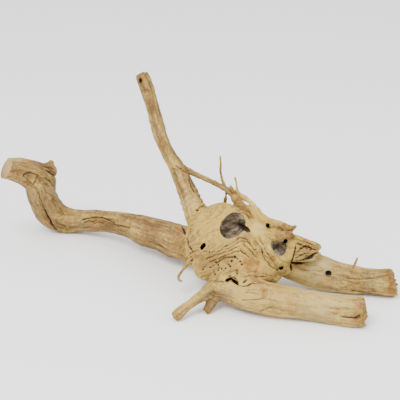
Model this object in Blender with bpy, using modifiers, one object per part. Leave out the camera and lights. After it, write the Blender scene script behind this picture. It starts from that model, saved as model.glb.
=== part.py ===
"""A piece of driftwood: one hollow root knot with four limbs, two stubs and a few fine roots.

Run it with blender --background --python part.py, or from Blender's text editor.
It grew as one piece, so it is one solid. It lies on low points of its limbs, with +Z up, its
front towards -Y, and its zero at the middle of the underside of its box.
"""

import math

import bmesh
import bpy
import numpy as np
from mathutils import Matrix, Vector

MM = 0.001

# A limb is a route of points, each x, y, z and radius in millimetres, from its free end to the knot.
LIMBS = {
    "left": [
        (-257, 62, 124, 13.2), (-251, 66, 121, 13.8), (-231, 78, 112, 17.4), (-211, 95, 91, 21.6),
        (-209, 111, 60, 19.2), (-201, 124, 30, 20.0), (-182, 127, 16, 17.2), (-151, 117, 20, 15.0),
        (-120, 99, 27, 14.6), (-96, 82, 31, 15.8), (-71, 67, 30, 19.8), (-47, 51, 30, 22.0),
        (-23, 33, 30, 23.5), (6, 9, 34, 25.0),
    ],
    "upright": [
        (-67, 45, 260, 8.6), (-61, 44, 242, 9.0), (-55, 42, 220, 8.2), (-50, 39, 200, 8.6),
        (-45, 34, 180, 8.6), (-36, 29, 160, 8.2), (-26, 23, 145, 9.4), (-16, 13, 127, 11.2),
        (-8, 1, 114, 12.2), (-2, -13, 103, 14.0), (7, -25, 88, 18.0), (15, -35, 72, 20.0),
    ],
    "front": [
        (205, -129, 18, 18.8), (181, -125, 17, 18.2), (152, -117, 18, 17.8), (123, -112, 20, 18.2),
        (92, -106, 22, 19.6), (62, -95, 25, 20.4), (33, -79, 30, 21.0),
    ],
    "rear": [
        (253, -56, 16, 17.0), (223, -53, 17, 16.0), (200, -49, 18, 17.2), (180, -45, 20, 18.4),
        (156, -40, 25, 20.4), (133, -35, 30, 20.6), (98, -28, 40, 20.0),
    ],
    "stub": [(-25, -121, 5, 6.4), (-7, -109, 16, 6.6), (13, -96, 25, 8.2), (28, -81, 33, 12.0)],
    "snag": [(13, -104, 3, 5.4), (19, -98, 11, 6.4), (26, -91, 22, 9.0), (32, -81, 32, 9.0)],
}

# The knot is a cluster of lumps, each x, y, z and its three radii in millimetres.
LUMPS = [
    (35, -35, 72, 43, 42, 42), (13, -27, 60, 27, 32, 34), (45, -59, 38, 30, 32, 27),
    (17, -51, 42, 21, 24, 22), (87, -31, 58, 28, 30, 26), (105, -47, 40, 15, 15, 18),
    (39, 1, 46, 40, 32, 34), (79, -3, 50, 28, 22, 26), (63, -67, 42, 38, 24, 24),
    (69, -41, 70, 26, 28, 25), (-198, 93, 105, 13, 12, 13), (87, -55, 28, 20, 20, 14),
]

# Ridges, lips and torn slabs that stand out of the knot, as routes like the limbs'.
RIDGES = {
    "brow": [
        (59, -11, 100, 6.5), (71, -16, 94, 9.0), (90, -22, 84, 9.2), (103, -27, 83, 7.8),
        (112, -31, 82, 6.6), (120, -35, 83, 4.6), (127, -39, 89, 2.6),
    ],
    "shelf": [
        (97, -47, 80, 6.0), (113, -51, 76, 4.5), (121, -49, 64, 5.5), (120, -49, 46, 6.0), (111, -53, 30, 6.0),
    ],
    "elbow_nub": [(-202, 93, 106, 8.4), (-194, 92, 116, 5.2), (-191, 91, 122, 3.4)],
    "fold": [(91, -45, 83, 5.0), (104, -55, 84, 5.4), (114, -55, 85, 4.4), (122, -49, 82, 3.0)],
    "slab_top": [(99, -35, 68, 10.0), (123, -43, 71, 8.0), (143, -47, 67, 6.0), (158, -49, 63, 2.6)],
    "slab_mid": [(99, -39, 58, 10.0), (125, -50, 60, 7.0), (145, -52, 58, 4.8), (158, -51, 55, 2.0)],
    "slab_low": [(97, -45, 50, 9.0), (123, -55, 52, 6.0), (139, -57, 51, 4.2), (151, -55, 51, 2.2)],
}

# Fine roots and twigs are thinner than the skin's grid, so they are joined on at the end.
TWIGS = {
    "arch": [
        (-29, 24, 147, 4.4), (-13, 23, 139, 3.8), (-3, 21, 134, 3.4), (17, 13, 128, 3.2), (29, 8, 124, 3.4),
        (40, 3, 120, 4.0), (47, -2, 115, 4.6), (52, -10, 111, 5.2), (57, -20, 108, 5.6), (61, -28, 105, 5.6),
        (64, -35, 99, 4.2),
    ],
    "upright_twig": [
        (38, 5, 122, 2.4), (34, 5, 132, 2.1), (32, 4, 143, 1.9), (32, 3, 155, 1.9), (31, 2, 166, 1.9),
    ],
    "stump_twig": [(51, -4, 110, 3.2), (47, -4, 121, 2.9), (44, -5, 129, 1.9)],
    "fine_twig": [(58, -5, 112, 2.2), (53, -4, 121, 1.6), (52, -3, 129, 1.2), (50, -2, 139, 1.1)],
    "ribbon": [
        (50, -1, 118, 2.8), (58, -5, 114, 2.8), (66, -9, 110, 2.8), (74, -14, 104, 3.6), (81, -19, 94, 5.0),
    ],
    "back_twig": [(41, 3, 119, 2.6), (39, 6, 108, 2.3), (38, 8, 95, 2.3), (38, 6, 76, 2.8)],
    "hook": [
        (5, -43, 52, 3.8), (-5, -49, 47, 2.8), (-13, -53, 38, 2.3), (-20, -57, 29, 2.1), (-21, -59, 24, 2.0),
        (-16, -60, 21, 1.6),
    ],
    "sprig": [(189, -57, 26, 1.3), (193, -67, 35, 1.2), (197, -71, 50, 1.1), (200, -73, 62, 1.1)],
}

# The front of the knot is worked from the viewer's side, so its hollows and marks face this eye point.
EYE = (6, -1382, 751)
FACING_TILT = 25.0

# Hollows are egg-shaped cuts: centre, radii across, deep and up, and a roll clockwise in degrees.
HOLLOWS = {
    "eye": ((44.8, -54, 95), (19.8, 23, 15.0), -44),
    "eye_slot": ((61, -47, 90), (11.5, 17, 3.8), 38),
    "mouth": ((104, -51, 66.5), (9.2, 9, 11.0), -14),
    "mouth_top": ((112, -49, 73), (3.6, 15, 3.8), 0),
    "nostril": ((107, -55, 38), (4.2, 8, 2.8), 0),
    "left_slit": ((10, -63, 73), (2.1, 13, 5.4), 34),
    "brow_pocket": ((91, -27, 83), (2.6, 7, 3.0), 20),
    "crack_mouth": ((41, -92, 42), (6.2, 9, 1.5), -26),
    "crack_corner": ((49, -96, 41), (7.0, 10, 1.4), 38),
    "rear_knot_hole": ((167, -57, 32), (2.6, 5, 2.3), 0),
    "top_hole": ((-68, 37, 253), (2.4, 6, 3.6), 10),
}

# Marks seen from the eye point, as x, y, z points, then half width and depth. A minus depth stands out.
MARKS = {
    "elbow_crack": ([(-211, 73, 86), (-209, 89, 59), (-206, 97, 43), (-201, 104, 24), (-193, 111, 9)], 2.6, 5.5),
    "elbow_crease": ([(-198, 81, 79), (-190, 107, 52), (-182, 113, 27)], 3.4, 2.6),
    "elbow_groove": ([(-197, 89, 108), (-190, 87, 102), (-186, 87, 98)], 2.6, 3.6),
    "scar_top": ([(-229, 61, 111), (-221, 66, 115), (-209, 71, 108)], 2.6, 4.4),
    "scar_side": ([(-209, 71, 108), (-215, 67, 98)], 3.6, 4.4),
    "scar_face": ([(-225, 63, 110), (-219, 67, 106), (-217, 68, 100)], 5.6, 2.2),
    "flute": ([(-160, 107, 27), (-138, 98, 35), (-125, 89, 37), (-107, 72, 34), (-88, 58, 36)], 4.4, 4.6),
    "flute_low": ([(-155, 103, 19), (-144, 99, 19)], 2.6, 2.6),
    "limb_seam": ([(-17, 15, 64), (-13, 9, 54), (-6, 1, 36), (-1, -11, 28)], 4.0, 7.0),
    "upright_split": ([(-9, 9, 136), (-5, -1, 128), (-2, -13, 119)], 2.2, 3.6),
    "crown_foot": ([(-5, -17, 108), (3, -27, 108), (11, -33, 110)], 3.0, 3.0),
    "arch_one": (
        [(33, -75, 83), (45, -72, 86), (56, -65, 91), (68, -64, 84), (77, -66, 75), (88, -65, 60)], 3.2, -2.4,
    ),
    "arch_two": (
        [(23, -75, 74), (38, -76, 76), (53, -72, 78), (63, -67, 78), (70, -68, 73), (82, -81, 57)], 2.8, -2.2,
    ),
    "arch_three": ([(18, -72, 61), (33, -76, 66), (50, -74, 69), (63, -69, 67), (70, -77, 63)], 2.8, -2.0),
    "valley_one": ([(28, -75, 78), (42, -75, 81), (56, -67, 84), (67, -65, 79), (79, -67, 68)], 2.2, 2.2),
    "valley_two": ([(19, -73, 66), (35, -76, 70), (52, -73, 73), (64, -68, 72), (74, -73, 62)], 2.2, 2.2),
    "low_crack": ([(55, -107, 40), (74, -104, 43), (93, -74, 29)], 2.6, 4.6),
    "under_slab": ([(121, -55, 36), (133, -57, 42), (151, -55, 46)], 3.0, 5.0),
    "front_split": ([(180, -143, 18), (191, -145, 17), (204, -147, 16)], 3.0, 5.0),
    "rear_score": ([(185, -57, 22), (211, -61, 22), (241, -65, 24)], 2.2, 2.0),
}

# Torn ends: how far the broken fibres reach in and out, and how far the top falls back, in millimetres.
TORN_ENDS = {
    "front": (2.2, 2.0), "rear": (2.8, 6.0), "stub": (1.2, 0.0), "snag": (2.0, 0.0), "upright": (1.0, 0.0),
}

# The left limb's tip is sawn off flat: the middle of the cut, and the direction that it faces.
SAWN_MIDDLE = (-249.4, 67.1, 120.6)
SAWN_FACING = (-0.78, -0.31, 0.53)
SAWN_WIDTH = 60
SAWN_DEPTH = 24

SKIN_GRID = 1.6
SKIN_TRIANGLES = 10500
SMOOTH_ROUNDS = 9

# The back and underside of the knot are smoother than its front: the lumps there flow together.
KNOT_MIDDLE = (46, -25, 50)
KNOT_REACH = 84
BACK_SMOOTH_ROUNDS = 90

LIMB_SIDES = 24
TWIG_SIDES = 6
FLOOR_WIDTH = 700
FLOOR_DEPTH = 20

WOOD_COLOUR = (0.56, 0.43, 0.25, 1.0)
WOOD_ROUGHNESS = 0.72


def clear_scene():
    for old in list(bpy.data.objects):
        bpy.data.objects.remove(old, do_unlink=True)


def new_collection(name):
    collection = bpy.data.collections.new(name)
    bpy.context.scene.collection.children.link(collection)
    return collection


def smooth_route(route, spacing):
    """The route as a smooth line: Catmull-Rom between its points, about one sample each spacing."""
    points = np.array(route, float)
    before = 2 * points[0] - points[1]
    after = 2 * points[-1] - points[-2]
    padded = np.vstack([before, points, after])
    pieces = []
    for first in range(len(points) - 1):
        a, b, c, d = padded[first:first + 4]
        count = max(2, round(float(np.linalg.norm((c - b)[:3])) / spacing))
        t = np.arange(count)[:, None] / count
        cubic = (2 * a - 5 * b + 4 * c - d) * t**2 + (3 * b - a - 3 * c + d) * t**3
        pieces.append(0.5 * (2 * b + (c - a) * t + cubic))
    return np.vstack([*pieces, points[-1:]])


def mesh_from(source, name):
    """A new object with the source's evaluated mesh, its caps welded and its faces pointing out."""
    graph = bpy.context.evaluated_depsgraph_get()
    mesh = bpy.data.meshes.new_from_object(source.evaluated_get(graph))
    made = bpy.data.objects.new(name, mesh)
    made.matrix_world = source.matrix_world
    bpy.context.scene.collection.objects.link(made)
    bpy.data.objects.remove(source, do_unlink=True)
    shape = bmesh.new()
    shape.from_mesh(mesh)
    bmesh.ops.remove_doubles(shape, verts=shape.verts, dist=0.01 * MM)
    bmesh.ops.recalc_face_normals(shape, faces=shape.faces)
    shape.to_mesh(mesh)
    shape.free()
    return made


def tube(name, route, spacing, sides):
    """A closed mesh tube along the route, with flat filled ends, from a bevelled curve."""
    samples = smooth_route(route, spacing)
    curve = bpy.data.curves.new(name, "CURVE")
    curve.dimensions = "3D"
    curve.bevel_depth = MM
    curve.bevel_resolution = sides // 2 - 2
    curve.use_fill_caps = True
    spline = curve.splines.new("POLY")
    spline.points.add(len(samples) - 1)
    for point, (x, y, z, radius) in zip(spline.points, samples):
        point.co = (x * MM, y * MM, z * MM, 1)
        point.radius = radius
    guide = bpy.data.objects.new(name + "_guide", curve)
    bpy.context.scene.collection.objects.link(guide)
    return mesh_from(guide, name)


def egg(name, place, radii, roll=0.0, tilt=0.0):
    """A closed egg of three radii centred on place, rolled in its own face and tilted up to the viewer."""
    mesh = bpy.data.meshes.new(name)
    shape = bmesh.new()
    bmesh.ops.create_uvsphere(shape, u_segments=24, v_segments=14, radius=1)
    turn = Matrix.Rotation(math.radians(-tilt), 3, "X") @ Matrix.Rotation(math.radians(roll), 3, "Y")
    for vertex in shape.verts:
        stretched = Vector(vertex.co[axis] * radii[axis] for axis in range(3))
        vertex.co = (turn @ stretched + Vector(place)) * MM
    bmesh.ops.recalc_face_normals(shape, faces=shape.faces)
    shape.to_mesh(mesh)
    shape.free()
    made = bpy.data.objects.new(name, mesh)
    bpy.context.scene.collection.objects.link(made)
    return made


def joined(objects, name):
    """All the objects' faces in one mesh."""
    with bpy.context.temp_override(active_object=objects[0], selected_editable_objects=objects):
        bpy.ops.object.join()
    objects[0].name = name
    objects[0].data.name = name
    return objects[0]


def settle(body):
    """Applies the body's modifiers, in order."""
    graph = bpy.context.evaluated_depsgraph_get()
    mesh = bpy.data.meshes.new_from_object(body.evaluated_get(graph))
    body.modifiers.clear()
    body.data = mesh


def skin_over(body):
    """One even skin over everything that overlaps, with its creases eased as wood grows round a fork."""
    remesh = body.modifiers.new("one_skin", "REMESH")
    remesh.mode = "VOXEL"
    remesh.voxel_size = SKIN_GRID * MM
    ease = body.modifiers.new("grown_forks", "SMOOTH")
    ease.factor = 0.5
    ease.iterations = SMOOTH_ROUNDS
    settle(body)
    points = read_vectors(body.data, "co")
    normals = read_vectors(body.data, "normal")
    near = fade(np.linalg.norm(points - np.array(KNOT_MIDDLE), axis=1), KNOT_REACH - 14, KNOT_REACH)
    tilt = math.radians(FACING_TILT)
    away = fade(normals @ np.array([0, math.cos(tilt), -math.sin(tilt)]), 0.1, -0.35)
    at_back = fade(points[:, 1], -3, -17) * fade(points[:, 2], 84, 96)
    behind = np.maximum(away * fade(points[:, 2], 92, 100), at_back)
    weights = near * behind
    group = body.vertex_groups.new(name="knot_back")
    for index in np.flatnonzero(weights > 0.01):
        group.add([int(index)], float(weights[index]), "REPLACE")
    flow = body.modifiers.new("flowing_back", "SMOOTH")
    flow.factor = 0.5
    flow.iterations = BACK_SMOOTH_ROUNDS
    flow.vertex_group = "knot_back"
    settle(body)
    body.vertex_groups.clear()


def read_vectors(mesh, field):
    """The mesh's vertex positions in millimetres, or its vertex normals, one row each."""
    values = np.empty(len(mesh.vertices) * 3, np.float32)
    mesh.vertices.foreach_get(field, values)
    rows = values.reshape(-1, 3).astype(float)
    return rows / MM if field == "co" else rows


def waves(points, wavelength, seed):
    """Smooth unevenness from about -1 to 1: seven sine waves in seeded directions, summed."""
    dice = np.random.default_rng(seed)
    total = np.zeros(len(points))
    for _ in range(7):
        way = dice.normal(size=3)
        way /= np.linalg.norm(way)
        pitch = wavelength * dice.uniform(0.75, 1.35)
        total += np.sin(points @ way * (2 * math.pi / pitch) + dice.uniform(0, 2 * math.pi))
    return total / 3.2


def along_and_around(points, route):
    """For each point: distance along the limb, angle round it from the front, its distance from the
    limb's line over the radius there, that radius, and the limb's own direction."""
    samples = smooth_route(route, 3.0)
    centres = samples[:, :3]
    ways = np.gradient(centres, axis=0)
    ways /= np.linalg.norm(ways, axis=1)[:, None]
    front = np.array([0.0, -1.0, 0.0])
    faces = front - (ways @ front)[:, None] * ways
    faces /= np.linalg.norm(faces, axis=1)[:, None]
    sides = np.cross(faces, ways)
    steps = np.linalg.norm(np.diff(centres, axis=0), axis=1)
    lengths = np.concatenate([[0.0], np.cumsum(steps)])
    gaps = ((points[:, None, :] - centres[None]) ** 2).sum(2)
    near = gaps.argmin(1)
    offset = points - centres[near]
    along = lengths[near] + (offset * ways[near]).sum(1)
    around = np.arctan2((offset * sides[near]).sum(1), (offset * faces[near]).sum(1))
    reach = np.sqrt(gaps[np.arange(len(points)), near]) / samples[near, 3]
    return along, around, reach, samples[near, 3], ways[near]


def fade(value, full, none):
    """1 at full or beyond, 0 at none or beyond, with eased ends between."""
    t = np.clip((value - none) / (full - none), 0, 1)
    return t * t * (3 - 2 * t)


def seen_from_eye(points):
    """Where points show from the eye: across and up as slopes, and their distance."""
    tilt = math.radians(FACING_TILT)
    offset = points - np.array(EYE, float)
    depth = offset @ np.array([0, math.cos(tilt), -math.sin(tilt)])
    up = offset @ np.array([0, math.sin(tilt), math.cos(tilt)])
    return np.stack([offset[:, 0] / depth, up / depth], 1), depth


def beside_line(spots, line):
    """Each spot's distance to a broken line, in the plane of the spots."""
    nearest = np.full(len(spots), np.inf)
    for start, end in zip(line[:-1], line[1:]):
        run = end - start
        t = np.clip((spots - start) @ run / (run @ run), 0, 1)
        nearest = np.minimum(nearest, np.linalg.norm(spots - start - t[:, None] * run, axis=1))
    return nearest


def mark_depth(points, normals):
    """How far the marks sink each point, in millimetres."""
    spots, depth = seen_from_eye(points)
    tilt = math.radians(FACING_TILT)
    facing = fade(normals @ np.array([0, -math.cos(tilt), math.sin(tilt)]), 0.35, 0.0)
    total = np.zeros(len(points))
    for route, half_width, sink in MARKS.values():
        line, line_depth = seen_from_eye(np.array(route, float))
        off = beside_line(spots, line) * depth / half_width
        close = fade(np.abs(depth - line_depth.mean()), 24.0, 40.0)
        total += sink * np.clip(1 - off**2, 0, 1) * close * facing
    return total


def relieve(body):
    """Raises and sinks the skin by formula: flutes along the limbs, rings, marks and torn ends."""
    mesh = body.data
    points = read_vectors(mesh, "co")
    normals = read_vectors(mesh, "normal")
    rise = 0.55 * waves(points, 34, 3) + 0.3 * waves(points, 12, 4)
    near = fade(np.linalg.norm(points - np.array(KNOT_MIDDLE), axis=1), KNOT_REACH - 20, KNOT_REACH)
    behind = np.maximum(fade(points[:, 1], -3, -19), fade(normals[:, 2], -0.5, -0.1))
    cords = waves(points * [0.45, 1.0, 0.8] + 3 * waves(points, 40, 8)[:, None], 17, 9)
    rise += near * behind * 1.5 * cords
    shift = np.zeros_like(points)
    for order, (name, route) in enumerate(LIMBS.items()):
        along, around, reach, radius, way = along_and_around(points, route)
        last = np.linalg.norm(np.diff(np.array(route, float)[:, :3], axis=0), axis=1).sum()
        on_limb = fade(reach, 1.35, 1.9) * fade(along, last - 45, last - 5)
        flutes = 0.045 * np.cos(2 * around + order + along / 70)
        flutes += 0.035 * np.cos(3 * around + 2 * order - along / 50)
        flutes += 0.022 * np.cos(7 * around + 3 * order + along / 38)
        rise += on_limb * radius * flutes
        if name == "upright":
            rings = np.sin(along * 0.8 + 0.6 * np.sin(2 * around))
            rise += on_limb * 0.6 * rings * fade(np.abs(along - 176), 8, 20)
        if name in TORN_ENDS:
            fibres = waves(points * [0.25, 1, 1], 9, 20 + order) + 0.5 * waves(points, 5, 40 + order)
            at_end = fade(along, 1.0, 12.0) * fade(reach, 1.25, 1.6)
            teeth, slant = TORN_ENDS[name]
            height = np.clip((points[:, 2] - route[0][2]) / route[0][3], -1, 1)
            shift += way * ((teeth * fibres + slant * np.clip(height + 0.4, 0, 1.4)) * at_end)[:, None]
    rise -= mark_depth(points, normals)
    moved = points + normals * rise[:, None] + shift
    mesh.vertices.foreach_set("co", (moved * MM).astype(np.float32).ravel())
    mesh.update()


def add_boolean(body, name, other, operation):
    boolean = body.modifiers.new(name, "BOOLEAN")
    boolean.operation = operation
    boolean.object = other
    boolean.solver = "MANIFOLD"


def as_cutter(cutter, cutters):
    cutter.hide_render = True
    cutter.display_type = "WIRE"
    for collection in list(cutter.users_collection):
        collection.objects.unlink(cutter)
    cutters.objects.link(cutter)
    return cutter


def cut_hollows(body, cutters):
    """Takes each egg-shaped hollow out of the body."""
    for name, (place, radii, roll) in HOLLOWS.items():
        cutter = as_cutter(egg(name + "_cutter", place, radii, roll, FACING_TILT), cutters)
        add_boolean(body, name, cutter, "DIFFERENCE")
    settle(body)


def lighten(body):
    """Fewer, larger faces, kept small where the surface bends."""
    triangles = body.modifiers.new("triangles", "TRIANGULATE")
    triangles.quad_method = "BEAUTY"
    settle(body)
    fewer = body.modifiers.new("fewer_faces", "DECIMATE")
    fewer.ratio = SKIN_TRIANGLES / len(body.data.polygons)
    settle(body)


def join_twigs(body):
    """Grows the fine roots onto the knot and limbs, with one union each."""
    for name, route in TWIGS.items():
        twig = tube(name, route, 7.0, TWIG_SIDES)
        add_boolean(body, name, twig, "UNION")
        settle(body)
        bpy.data.objects.remove(twig, do_unlink=True)


def cut_beyond(body, cutters, name, middle, facing, width, depth):
    """Takes off what lies beyond a plane, within a box of that width and depth on the plane's far side."""
    turn = Vector(facing).to_track_quat("Z", "Y").to_matrix()
    mesh = bpy.data.meshes.new(name + "_cutter")
    shape = bmesh.new()
    bmesh.ops.create_cube(shape, size=1)
    for vertex in shape.verts:
        corner = Vector((vertex.co.x * width, vertex.co.y * width, (vertex.co.z + 0.5) * depth))
        vertex.co = (turn @ corner + Vector(middle)) * MM
    shape.to_mesh(mesh)
    shape.free()
    cutter = bpy.data.objects.new(name + "_cutter", mesh)
    add_boolean(body, name, as_cutter(cutter, cutters), "DIFFERENCE")
    settle(body)


def wood_material():
    material = bpy.data.materials.new("driftwood")
    material.use_nodes = True
    shader = material.node_tree.nodes["Principled BSDF"]
    shader.inputs["Base Color"].default_value = WOOD_COLOUR
    shader.inputs["Roughness"].default_value = WOOD_ROUGHNESS
    shader.inputs["Metallic"].default_value = 0.0
    return material


def main():
    clear_scene()
    wood = new_collection("driftwood")
    cutters = new_collection("cutters")
    solids = [tube(name, route, 5.0, LIMB_SIDES) for name, route in {**LIMBS, **RIDGES}.items()]
    solids += [egg(f"lump_{order}", lump[:3], lump[3:]) for order, lump in enumerate(LUMPS)]
    body = joined(solids, "driftwood")
    skin_over(body)
    relieve(body)
    cut_hollows(body, cutters)
    lighten(body)
    join_twigs(body)
    cut_beyond(body, cutters, "sawn_tip", SAWN_MIDDLE, SAWN_FACING, SAWN_WIDTH, SAWN_DEPTH)
    cut_beyond(body, cutters, "level_feet", (0, 0, 0), (0, 0, -1), FLOOR_WIDTH, FLOOR_DEPTH)
    for collection in list(body.users_collection):
        collection.objects.unlink(body)
    wood.objects.link(body)
    body.data.materials.clear()
    body.data.materials.append(wood_material())
    body.data.shade_smooth()


main()
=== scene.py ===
# %% [markdown]
# # A piece of driftwood
# The object is one weathered root: a hollow knot in the middle, four limbs as thick as a wrist or a
# thumb, two short stubs and a handful of twigs. Nothing on it is straight or round, so the lesson
# builds it the way the root grew: smooth forms first, then one skin over them all, then the folds,
# cracks and pits that water and sand left in that skin, and last the wood's own colours.

import math

import bmesh
import bpy
import numpy as np
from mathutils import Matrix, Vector
from mathutils.bvhtree import BVHTree


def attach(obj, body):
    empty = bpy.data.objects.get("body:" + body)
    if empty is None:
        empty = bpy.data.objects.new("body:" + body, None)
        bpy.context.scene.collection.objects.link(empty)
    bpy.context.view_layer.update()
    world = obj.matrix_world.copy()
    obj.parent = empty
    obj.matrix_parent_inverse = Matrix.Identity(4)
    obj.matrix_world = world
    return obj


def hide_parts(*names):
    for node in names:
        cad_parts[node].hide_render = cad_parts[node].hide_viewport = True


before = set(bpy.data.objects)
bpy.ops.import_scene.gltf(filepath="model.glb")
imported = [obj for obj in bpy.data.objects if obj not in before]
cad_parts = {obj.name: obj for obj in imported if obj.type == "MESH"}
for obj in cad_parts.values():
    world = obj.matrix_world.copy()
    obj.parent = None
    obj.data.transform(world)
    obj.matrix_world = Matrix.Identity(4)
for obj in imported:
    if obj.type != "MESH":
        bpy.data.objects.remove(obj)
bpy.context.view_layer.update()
MM = 0.001

# %% [markdown]
# ## Where the picture was taken from
# Many marks of the front are placed where the picture shows them, so the camera comes first. It looks
# along +Y, tipped down 25 degrees, from far enough away that the limbs keep their true sizes. `seen`
# turns places into picture coordinates of a 400 by 400 frame, and `sight_line` goes back.

# %% Camera
TILT = math.radians(25)
AIM = np.array([6.0, -23.0, 117.0])
CAMERA_DISTANCE = 1500
FOCAL_LENGTH_PIXELS = 1200
FRAME_PIXELS = 400
SENSOR_WIDTH = 36
LOOK = np.array([0.0, math.cos(TILT), -math.sin(TILT)])
LOOK_UP = np.array([0.0, math.sin(TILT), math.cos(TILT)])
EYE = AIM - CAMERA_DISTANCE * LOOK

lens = bpy.data.cameras.new("camera")
lens.sensor_width = SENSOR_WIDTH
lens.lens = SENSOR_WIDTH * FOCAL_LENGTH_PIXELS / FRAME_PIXELS
lens.clip_end = 20
camera = bpy.data.objects.new("camera", lens)
camera.location = Vector(EYE * MM)
camera.rotation_euler = (math.pi / 2 - TILT, 0, 0)
bpy.context.scene.collection.objects.link(camera)
bpy.context.scene.camera = camera


def seen(points):
    """Picture coordinates are the offset from the eye, across and up, over its depth, times the focal
    length, counted from the middle of the frame. Depth is measured along the line of sight."""
    offset = points - EYE
    depth = offset @ LOOK
    across = FRAME_PIXELS / 2 + FOCAL_LENGTH_PIXELS * offset[:, 0] / depth
    down = FRAME_PIXELS / 2 - FOCAL_LENGTH_PIXELS * (offset @ LOOK_UP) / depth
    return np.stack([across, down], 1), depth


def sight_line(pixel):
    """The unit direction from the eye through one point of the picture."""
    across = (pixel[0] - FRAME_PIXELS / 2) / FOCAL_LENGTH_PIXELS
    rise = (FRAME_PIXELS / 2 - pixel[1]) / FOCAL_LENGTH_PIXELS
    line = LOOK + LOOK_UP * rise + np.array([across, 0, 0])
    return line / np.linalg.norm(line)


print("the eye stands at", EYE.round(), "mm")

# %% [markdown]
# ## Routes of the limbs
# A limb bends gently and swells and thins on the way. A route says that with a few points, each a
# place and a radius in millimetres, and a Catmull-Rom curve runs smoothly through all four numbers.
# A bevelled curve object could draw the limb too, but here the same route later carries its bark.

# %% Routes
LIMBS = {
    "left": [
        (-257, 62, 124, 13.2), (-251, 66, 121, 13.8), (-231, 78, 112, 17.4), (-211, 95, 91, 21.6),
        (-209, 111, 60, 19.2), (-201, 124, 30, 20.0), (-182, 127, 16, 17.2), (-151, 117, 20, 15.0),
        (-120, 99, 27, 14.6), (-96, 82, 31, 15.8), (-71, 67, 30, 19.8), (-47, 51, 30, 22.0),
        (-23, 33, 30, 23.5), (6, 9, 34, 25.0),
    ],
    "upright": [
        (-67, 45, 260, 8.6), (-61, 44, 242, 9.0), (-55, 42, 220, 8.2), (-50, 39, 200, 8.6),
        (-45, 34, 180, 8.6), (-36, 29, 160, 8.2), (-26, 23, 145, 9.4), (-16, 13, 127, 11.2),
        (-8, 1, 114, 12.2), (-2, -13, 103, 14.0), (7, -25, 88, 18.0), (15, -35, 72, 20.0),
    ],
    "front": [
        (205, -129, 18, 18.8), (181, -125, 17, 18.2), (152, -117, 18, 17.8), (123, -112, 20, 18.2),
        (92, -106, 22, 19.6), (62, -95, 25, 20.4), (33, -79, 30, 21.0),
    ],
    "rear": [
        (253, -56, 16, 17.0), (223, -53, 17, 16.0), (200, -49, 18, 17.2), (180, -45, 20, 18.4),
        (156, -40, 25, 20.4), (133, -35, 30, 20.6), (98, -28, 40, 20.0),
    ],
    "stub": [(-25, -121, 5, 6.4), (-7, -109, 16, 6.6), (13, -96, 25, 8.2), (28, -81, 33, 12.0)],
    "snag": [(13, -104, 3, 5.4), (19, -98, 11, 6.4), (26, -91, 22, 9.0), (32, -81, 32, 9.0)],
}
RIDGES = {
    "brow": [
        (59, -11, 100, 6.5), (71, -16, 94, 9.0), (90, -22, 84, 9.2), (103, -27, 83, 7.8),
        (112, -31, 82, 6.6), (120, -35, 83, 4.6), (127, -39, 89, 2.6),
    ],
    "shelf": [
        (97, -47, 80, 6.0), (113, -51, 76, 4.5), (121, -49, 64, 5.5), (120, -49, 46, 6.0),
        (111, -53, 30, 6.0),
    ],
    "elbow_nub": [(-202, 93, 106, 8.4), (-194, 92, 116, 5.2), (-191, 91, 122, 3.4)],
    "fold": [(91, -45, 83, 5.0), (104, -55, 84, 5.4), (114, -55, 85, 4.4), (122, -49, 82, 3.0)],
    "slab_top": [(99, -35, 68, 10.0), (123, -43, 71, 8.0), (143, -47, 67, 6.0), (158, -49, 63, 2.6)],
    "slab_mid": [(99, -39, 58, 10.0), (125, -50, 60, 7.0), (145, -52, 58, 4.8), (158, -51, 55, 2.0)],
    "slab_low": [(97, -45, 50, 9.0), (123, -55, 52, 6.0), (139, -57, 51, 4.2), (151, -55, 51, 2.2)],
}
TWIGS = {
    "arch": [
        (-29, 24, 147, 4.4), (-13, 23, 139, 3.8), (-3, 21, 134, 3.4), (17, 13, 128, 3.2),
        (29, 8, 124, 3.4), (40, 3, 120, 4.0), (47, -2, 115, 4.6), (52, -10, 111, 5.2),
        (57, -20, 108, 5.6), (61, -28, 105, 5.6), (64, -35, 99, 4.2),
    ],
    "upright_twig": [
        (38, 5, 122, 2.4), (34, 5, 132, 2.1), (32, 4, 143, 1.9), (32, 3, 155, 1.9), (31, 2, 166, 1.9),
    ],
    "stump_twig": [(51, -4, 110, 3.2), (47, -4, 121, 2.9), (44, -5, 129, 1.9)],
    "fine_twig": [(58, -5, 112, 2.2), (53, -4, 121, 1.6), (52, -3, 129, 1.2), (50, -2, 139, 1.1)],
    "ribbon": [
        (50, -1, 118, 2.8), (58, -5, 114, 2.8), (66, -9, 110, 2.8), (74, -14, 104, 3.6),
        (81, -19, 94, 5.0),
    ],
    "back_twig": [(41, 3, 119, 2.6), (39, 6, 108, 2.3), (38, 8, 95, 2.3), (38, 6, 76, 2.8)],
    "hook": [
        (5, -43, 52, 3.8), (-5, -49, 47, 2.8), (-13, -53, 38, 2.3), (-20, -57, 29, 2.1),
        (-21, -59, 24, 2.0), (-16, -60, 21, 1.6),
    ],
    "sprig": [(189, -57, 26, 1.3), (193, -67, 35, 1.2), (197, -71, 50, 1.1), (200, -73, 62, 1.1)],
}


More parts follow.
